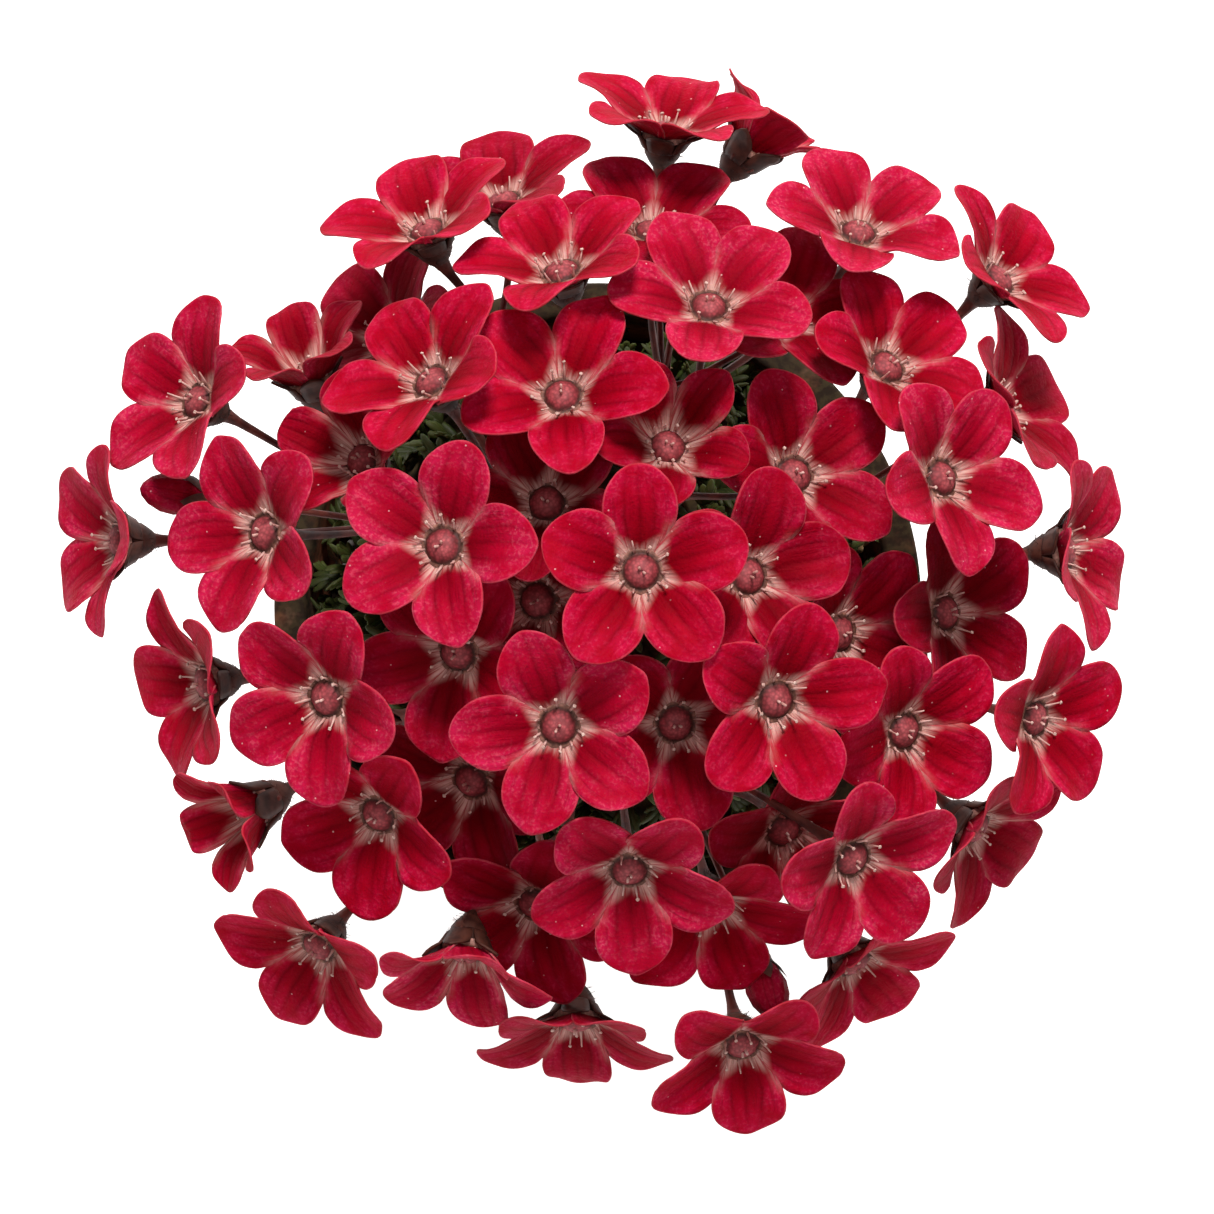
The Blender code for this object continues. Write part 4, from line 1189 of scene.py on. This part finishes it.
def compost_skin():
    """The compost's rough top, its side and its foot, and the loose crumbs round the cushion."""
    draw = random.Random("compost")
    skin = Skin()
    points = []
    for i in range(SOIL_ROWS):
        share = i / (SOIL_ROWS - 1)
        for j in range(SOIL_COLUMNS):
            radius = share * (pot_inside(SOIL_TOP) - SOIL_ROOM)
            drop = 1.6 * MM * max(0.0, share - 0.8) / 0.2
            height = SOIL_TOP - 0.5 * MM - drop + draw.uniform(-0.5, 0.5) * MM
            points.append(round_point(radius, TURN * j / SOIL_COLUMNS, height))
    skin.add(points, grid_faces(SOIL_ROWS, SOIL_COLUMNS, wrap=True))
    shoulder = soil_ring(pot_inside(SOIL_SHOULDER) - SOIL_ROOM, SOIL_SHOULDER)
    foot = soil_ring(pot_inside(SOIL_BOTTOM) - SOIL_ROOM, SOIL_BOTTOM)
    skin.add(shoulder + foot, flipped(grid_faces(2, SOIL_COLUMNS, wrap=True)))
    skin.add(foot, [tuple(reversed(range(SOIL_COLUMNS)))])
    for _ in range(CRUMBS):
        radius = draw.uniform(0.74, 0.97) * pot_inside(SOIL_TOP)
        angle = draw.uniform(0, TURN)
        size = draw.uniform(*CRUMB_SIZES) * MM
        at = round_point(radius, angle, SOIL_TOP - 0.9 * MM)
        crumb(skin, at, size, draw, 1 if draw.random() < PERLITE_SHARE else 0)
    return skin


soil_finish = speckled_material("compost", (0.012, 0.008, 0.005), (0.07, 0.045, 0.028), 0.95, 600.0)
perlite_finish = speckled_material("perlite", (0.5, 0.48, 0.44), (0.75, 0.73, 0.68), 0.9, 900.0)
soil_piece = compost_skin().build("compost", [soil_finish, perlite_finish])
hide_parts("soil")
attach(soil_piece, "root")

# The pot
# A plain clay pot, thrown or pressed and fired unglazed, with a deep band round its top and a drain
# hole in its foot. Damp has left it mottled, with a little lime. Its lip is near black: partly moss and
# partly painted shade from the dome of blooms over it.
BAND_HEIGHT = 19 * MM
BAND_STEP = 2.6 * MM
POT_FLOOR = 5.5 * MM
DRAIN_RADIUS = 6 * MM
POT_SIDES = 160
ROUND_STEPS = 4
EDGE_ROUND = 1.0 * MM
LONGEST_STEP = 3.0 * MM


def rounded_profile(corners, radius):
    """Corners of a closed profile, each rounded with a small arc of straight steps."""
    points = []
    count = len(corners)
    for n, corner in enumerate(corners):
        here = Vector(corner)
        before = Vector(corners[n - 1])
        after = Vector(corners[(n + 1) % count])
        to_before = (before - here).normalized()
        to_after = (after - here).normalized()
        if corner[0] <= DRAIN_RADIUS + 0.1 * MM:
            points.append(here)
            continue
        start = here + radius * to_before
        end = here + radius * to_after
        for i in range(ROUND_STEPS + 1):
            t = i / ROUND_STEPS
            points.append((1 - t) ** 2 * start + 2 * t * (1 - t) * here + t * t * end)
    return points


def clay_profile():
    """The pot's section, from the drain hole out, up the wall and the band, and down inside."""
    band_bottom = POT_HEIGHT - BAND_HEIGHT
    slope = (POT_TOP_RADIUS - BAND_STEP - POT_FOOT_RADIUS) / POT_HEIGHT
    wall = POT_FOOT_RADIUS + slope * band_bottom
    corners = (
        (DRAIN_RADIUS, 0),
        (POT_FOOT_RADIUS, 0),
        (wall, band_bottom - 0.5 * MM),
        (wall + BAND_STEP, band_bottom),
        (POT_TOP_RADIUS, POT_HEIGHT),
        (POT_TOP_RADIUS - POT_WALL, POT_HEIGHT),
        (pot_inside(POT_FLOOR), POT_FLOOR),
        (DRAIN_RADIUS, POT_FLOOR),
    )
    return rounded_profile(corners, EDGE_ROUND)


def subdivided(profile, longest):
    """The profile with its long runs cut into steps, so that the clay can be made uneven."""
    points = []
    for n, here in enumerate(profile):
        after = profile[(n + 1) % len(profile)]
        steps = max(1, math.ceil((after - here).length / longest))
        for i in range(steps):
            points.append(here.lerp(after, i / steps))
    return points


def clay_pot():
    """The section turned about +Z, with soft swells that keep it from being quite round."""
    draw = random.Random("clay")
    profile = subdivided(clay_profile(), LONGEST_STEP)
    swells = []
    for _ in range(4):
        swells.append((draw.uniform(0, TURN), draw.uniform(0.05, 0.14) * MM, draw.choice((2, 3, 5))))
    points = []
    places = []
    for n, spot in enumerate(profile):
        for j in range(POT_SIDES):
            angle = TURN * j / POT_SIDES
            radius = spot.x
            if spot.x > DRAIN_RADIUS + 1 * MM and spot.y > 1.5 * MM:
                for phase, size, waves in swells:
                    radius += 0.4 * size * math.sin(waves * angle + phase + 40 * spot.y)
            points.append(round_point(radius, angle, spot.y))
            places.append((j / POT_SIDES, n / len(profile)))
    faces = grid_faces(len(profile), POT_SIDES, wrap=True)
    last = (len(profile) - 1) * POT_SIDES
    for j in range(POT_SIDES):
        k = (j + 1) % POT_SIDES
        faces.append((last + j, last + k, k, j))
    skin = Skin()
    skin.add(points, faces, 0, places)
    return skin


def clay_material():
    """Old fired clay: warm and mottled, turning lines, fine sand, damp foot, lime, a lip of moss and
    painted shade.
    """
    made, tree, shader = new_material("terracotta", 0.85, Specular_IOR_Level=0.2)
    spots = (tree.nodes.new("ShaderNodeTexCoord"), "Object")
    split = tree.nodes.new("ShaderNodeSeparateXYZ")
    link(tree, spots, split, "Vector")
    height = (split, "Z")
    clouds = noise(tree, 28.0, 6.0, roughness=0.62)
    warm = ramp(
        tree,
        ((0.3, (0.2, 0.062, 0.03)), (0.5, (0.3, 0.1, 0.048)), (0.7, (0.38, 0.15, 0.078))),
        clouds,
    )
    sand = noise(tree, 900.0, 3.0)
    specks = ramp(tree, ((0.4, (0.72, 0.72, 0.72)), (0.6, (1, 1, 1))), sand)
    grainy = mixed(tree, 0.7, warm, specks, "MULTIPLY")
    high = fade(tree, height, 0.04, POT_HEIGHT + 0.02)
    lime_spots = product(tree, high, noise(tree, 46.0, 5.0, roughness=0.7))
    lime_share = product(tree, fade(tree, lime_spots, 0.34, 0.6), 0.4)
    limed = mixed(tree, lime_share, grainy, (0.72, 0.6, 0.5))
    damp_share = product(tree, fade(tree, height, 0.03, 0.0), 0.5, clouds)
    damp = mixed(tree, damp_share, limed, (0.15, 0.06, 0.03))
    # The lip: moss, darkened to near black as painted shade under the dome of blooms
    ragged = maths(tree, "MULTIPLY_ADD", noise(tree, 160.0, 4.0, roughness=0.7), 0.016, height)
    lip_moss_and_shade_share = product(tree, fade(tree, ragged, 0.082, 0.09), 0.94)
    lip_moss_and_shade = mixed(tree, fade(tree, sand, 0.4, 0.6), (0.008, 0.008, 0.004), (0.026, 0.024, 0.01))
    link(tree, mixed(tree, lip_moss_and_shade_share, damp, lip_moss_and_shade), shader, "Base Color")
    lines = node(tree, "ShaderNodeTexWave", bands_direction="Z", Scale=190.0, Distortion=1.2, Detail=2.0)
    link(tree, spots, lines, "Vector")
    bumped(tree, shader, maths(tree, "MULTIPLY_ADD", (lines, "Fac"), 0.35, sand), 0.4, 0.22 * MM)
    return made


pot_piece = clay_pot().build("clay_pot", [clay_material()])
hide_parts("pot")
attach(pot_piece, "root")

# The studio
# A plain pale floor, soft light from above and from the top edge of the view with a weak fill from the
# other side, and a camera that looks straight down on the dome.
DOME_TOP = 164 * MM
VIEW_HEIGHT = 450 * MM
VIEW_CENTRE = (1.17 * MM, -0.21 * MM)
VIEW_WIDTH = 129.7 * MM
SENSOR = 36.0
FLOOR_HALF = 4.0
# Each light: its place, what it points at, its size, its power and its colour
LIGHTS = {
    "key_light": ((0.1, 0.76, 0.94), (0, 0, 0.12), 0.26, 14.2, (1, 0.97, 0.96)),
    "top_light": ((0.15, 0.0, 1.2), (0, 0, 0.12), 0.6, 3, (1, 1, 1)),
    "fill_light": ((-0.25, -0.85, 0.55), (0, 0, 0.1), 0.5, 2.4, (1, 0.98, 0.97)),
}
# How bright the sky is as a light, and how much brighter it looks to the camera
SKY_LIGHT = 0.17
SKY_SEEN = 0.85


def floor():
    """A plain pale sheet that glows a little, so that it stays white under a bare sky."""
    corners = [(FLOOR_HALF * x, FLOOR_HALF * y, 0) for x, y in ((-1, -1), (1, -1), (1, 1), (-1, 1))]
    mesh = bpy.data.meshes.new("floor")
    mesh.from_pydata(corners, [], [(0, 1, 2, 3)])
    made, _, _ = new_material(
        "floor",
        0.9,
        Base_Color=(0.9, 0.9, 0.9, 1),
        Emission_Color=(1, 0.99, 0.98, 1),
        Emission_Strength=0.82,
    )
    mesh.materials.append(made)
    return added("floor", mesh)


def area_light(name, place, target, size, power, colour):
    """A soft square light that points at a target."""
    data = bpy.data.lights.new(name, "AREA")
    data.energy = power
    data.size = size
    data.color = colour
    obj = added(name, data)
    obj.location = place
    obj.rotation_euler = (Vector(target) - Vector(place)).to_track_quat("-Z", "Y").to_euler()


floor()
world = bpy.data.worlds.new("studio")
world.use_nodes = True
sky = world.node_tree.nodes["Background"]
sky.inputs["Color"].default_value = (1, 1, 1, 1)
seen = (world.node_tree.nodes.new("ShaderNodeLightPath"), "Is Camera Ray")
link(world.node_tree, maths(world.node_tree, "MULTIPLY_ADD", seen, SKY_SEEN, SKY_LIGHT), sky, "Strength")
bpy.context.scene.world = world
for name, light in LIGHTS.items():
    area_light(name, *light)
camera_data = bpy.data.cameras.new("camera")
camera_data.sensor_width = SENSOR
camera_data.lens = SENSOR * VIEW_HEIGHT / VIEW_WIDTH
camera_data.clip_start = 0.01
camera = added("camera", camera_data)
camera.location = (*VIEW_CENTRE, DOME_TOP + VIEW_HEIGHT)
bpy.context.scene.camera = camera
bpy.context.scene.view_settings.view_transform = "Standard"
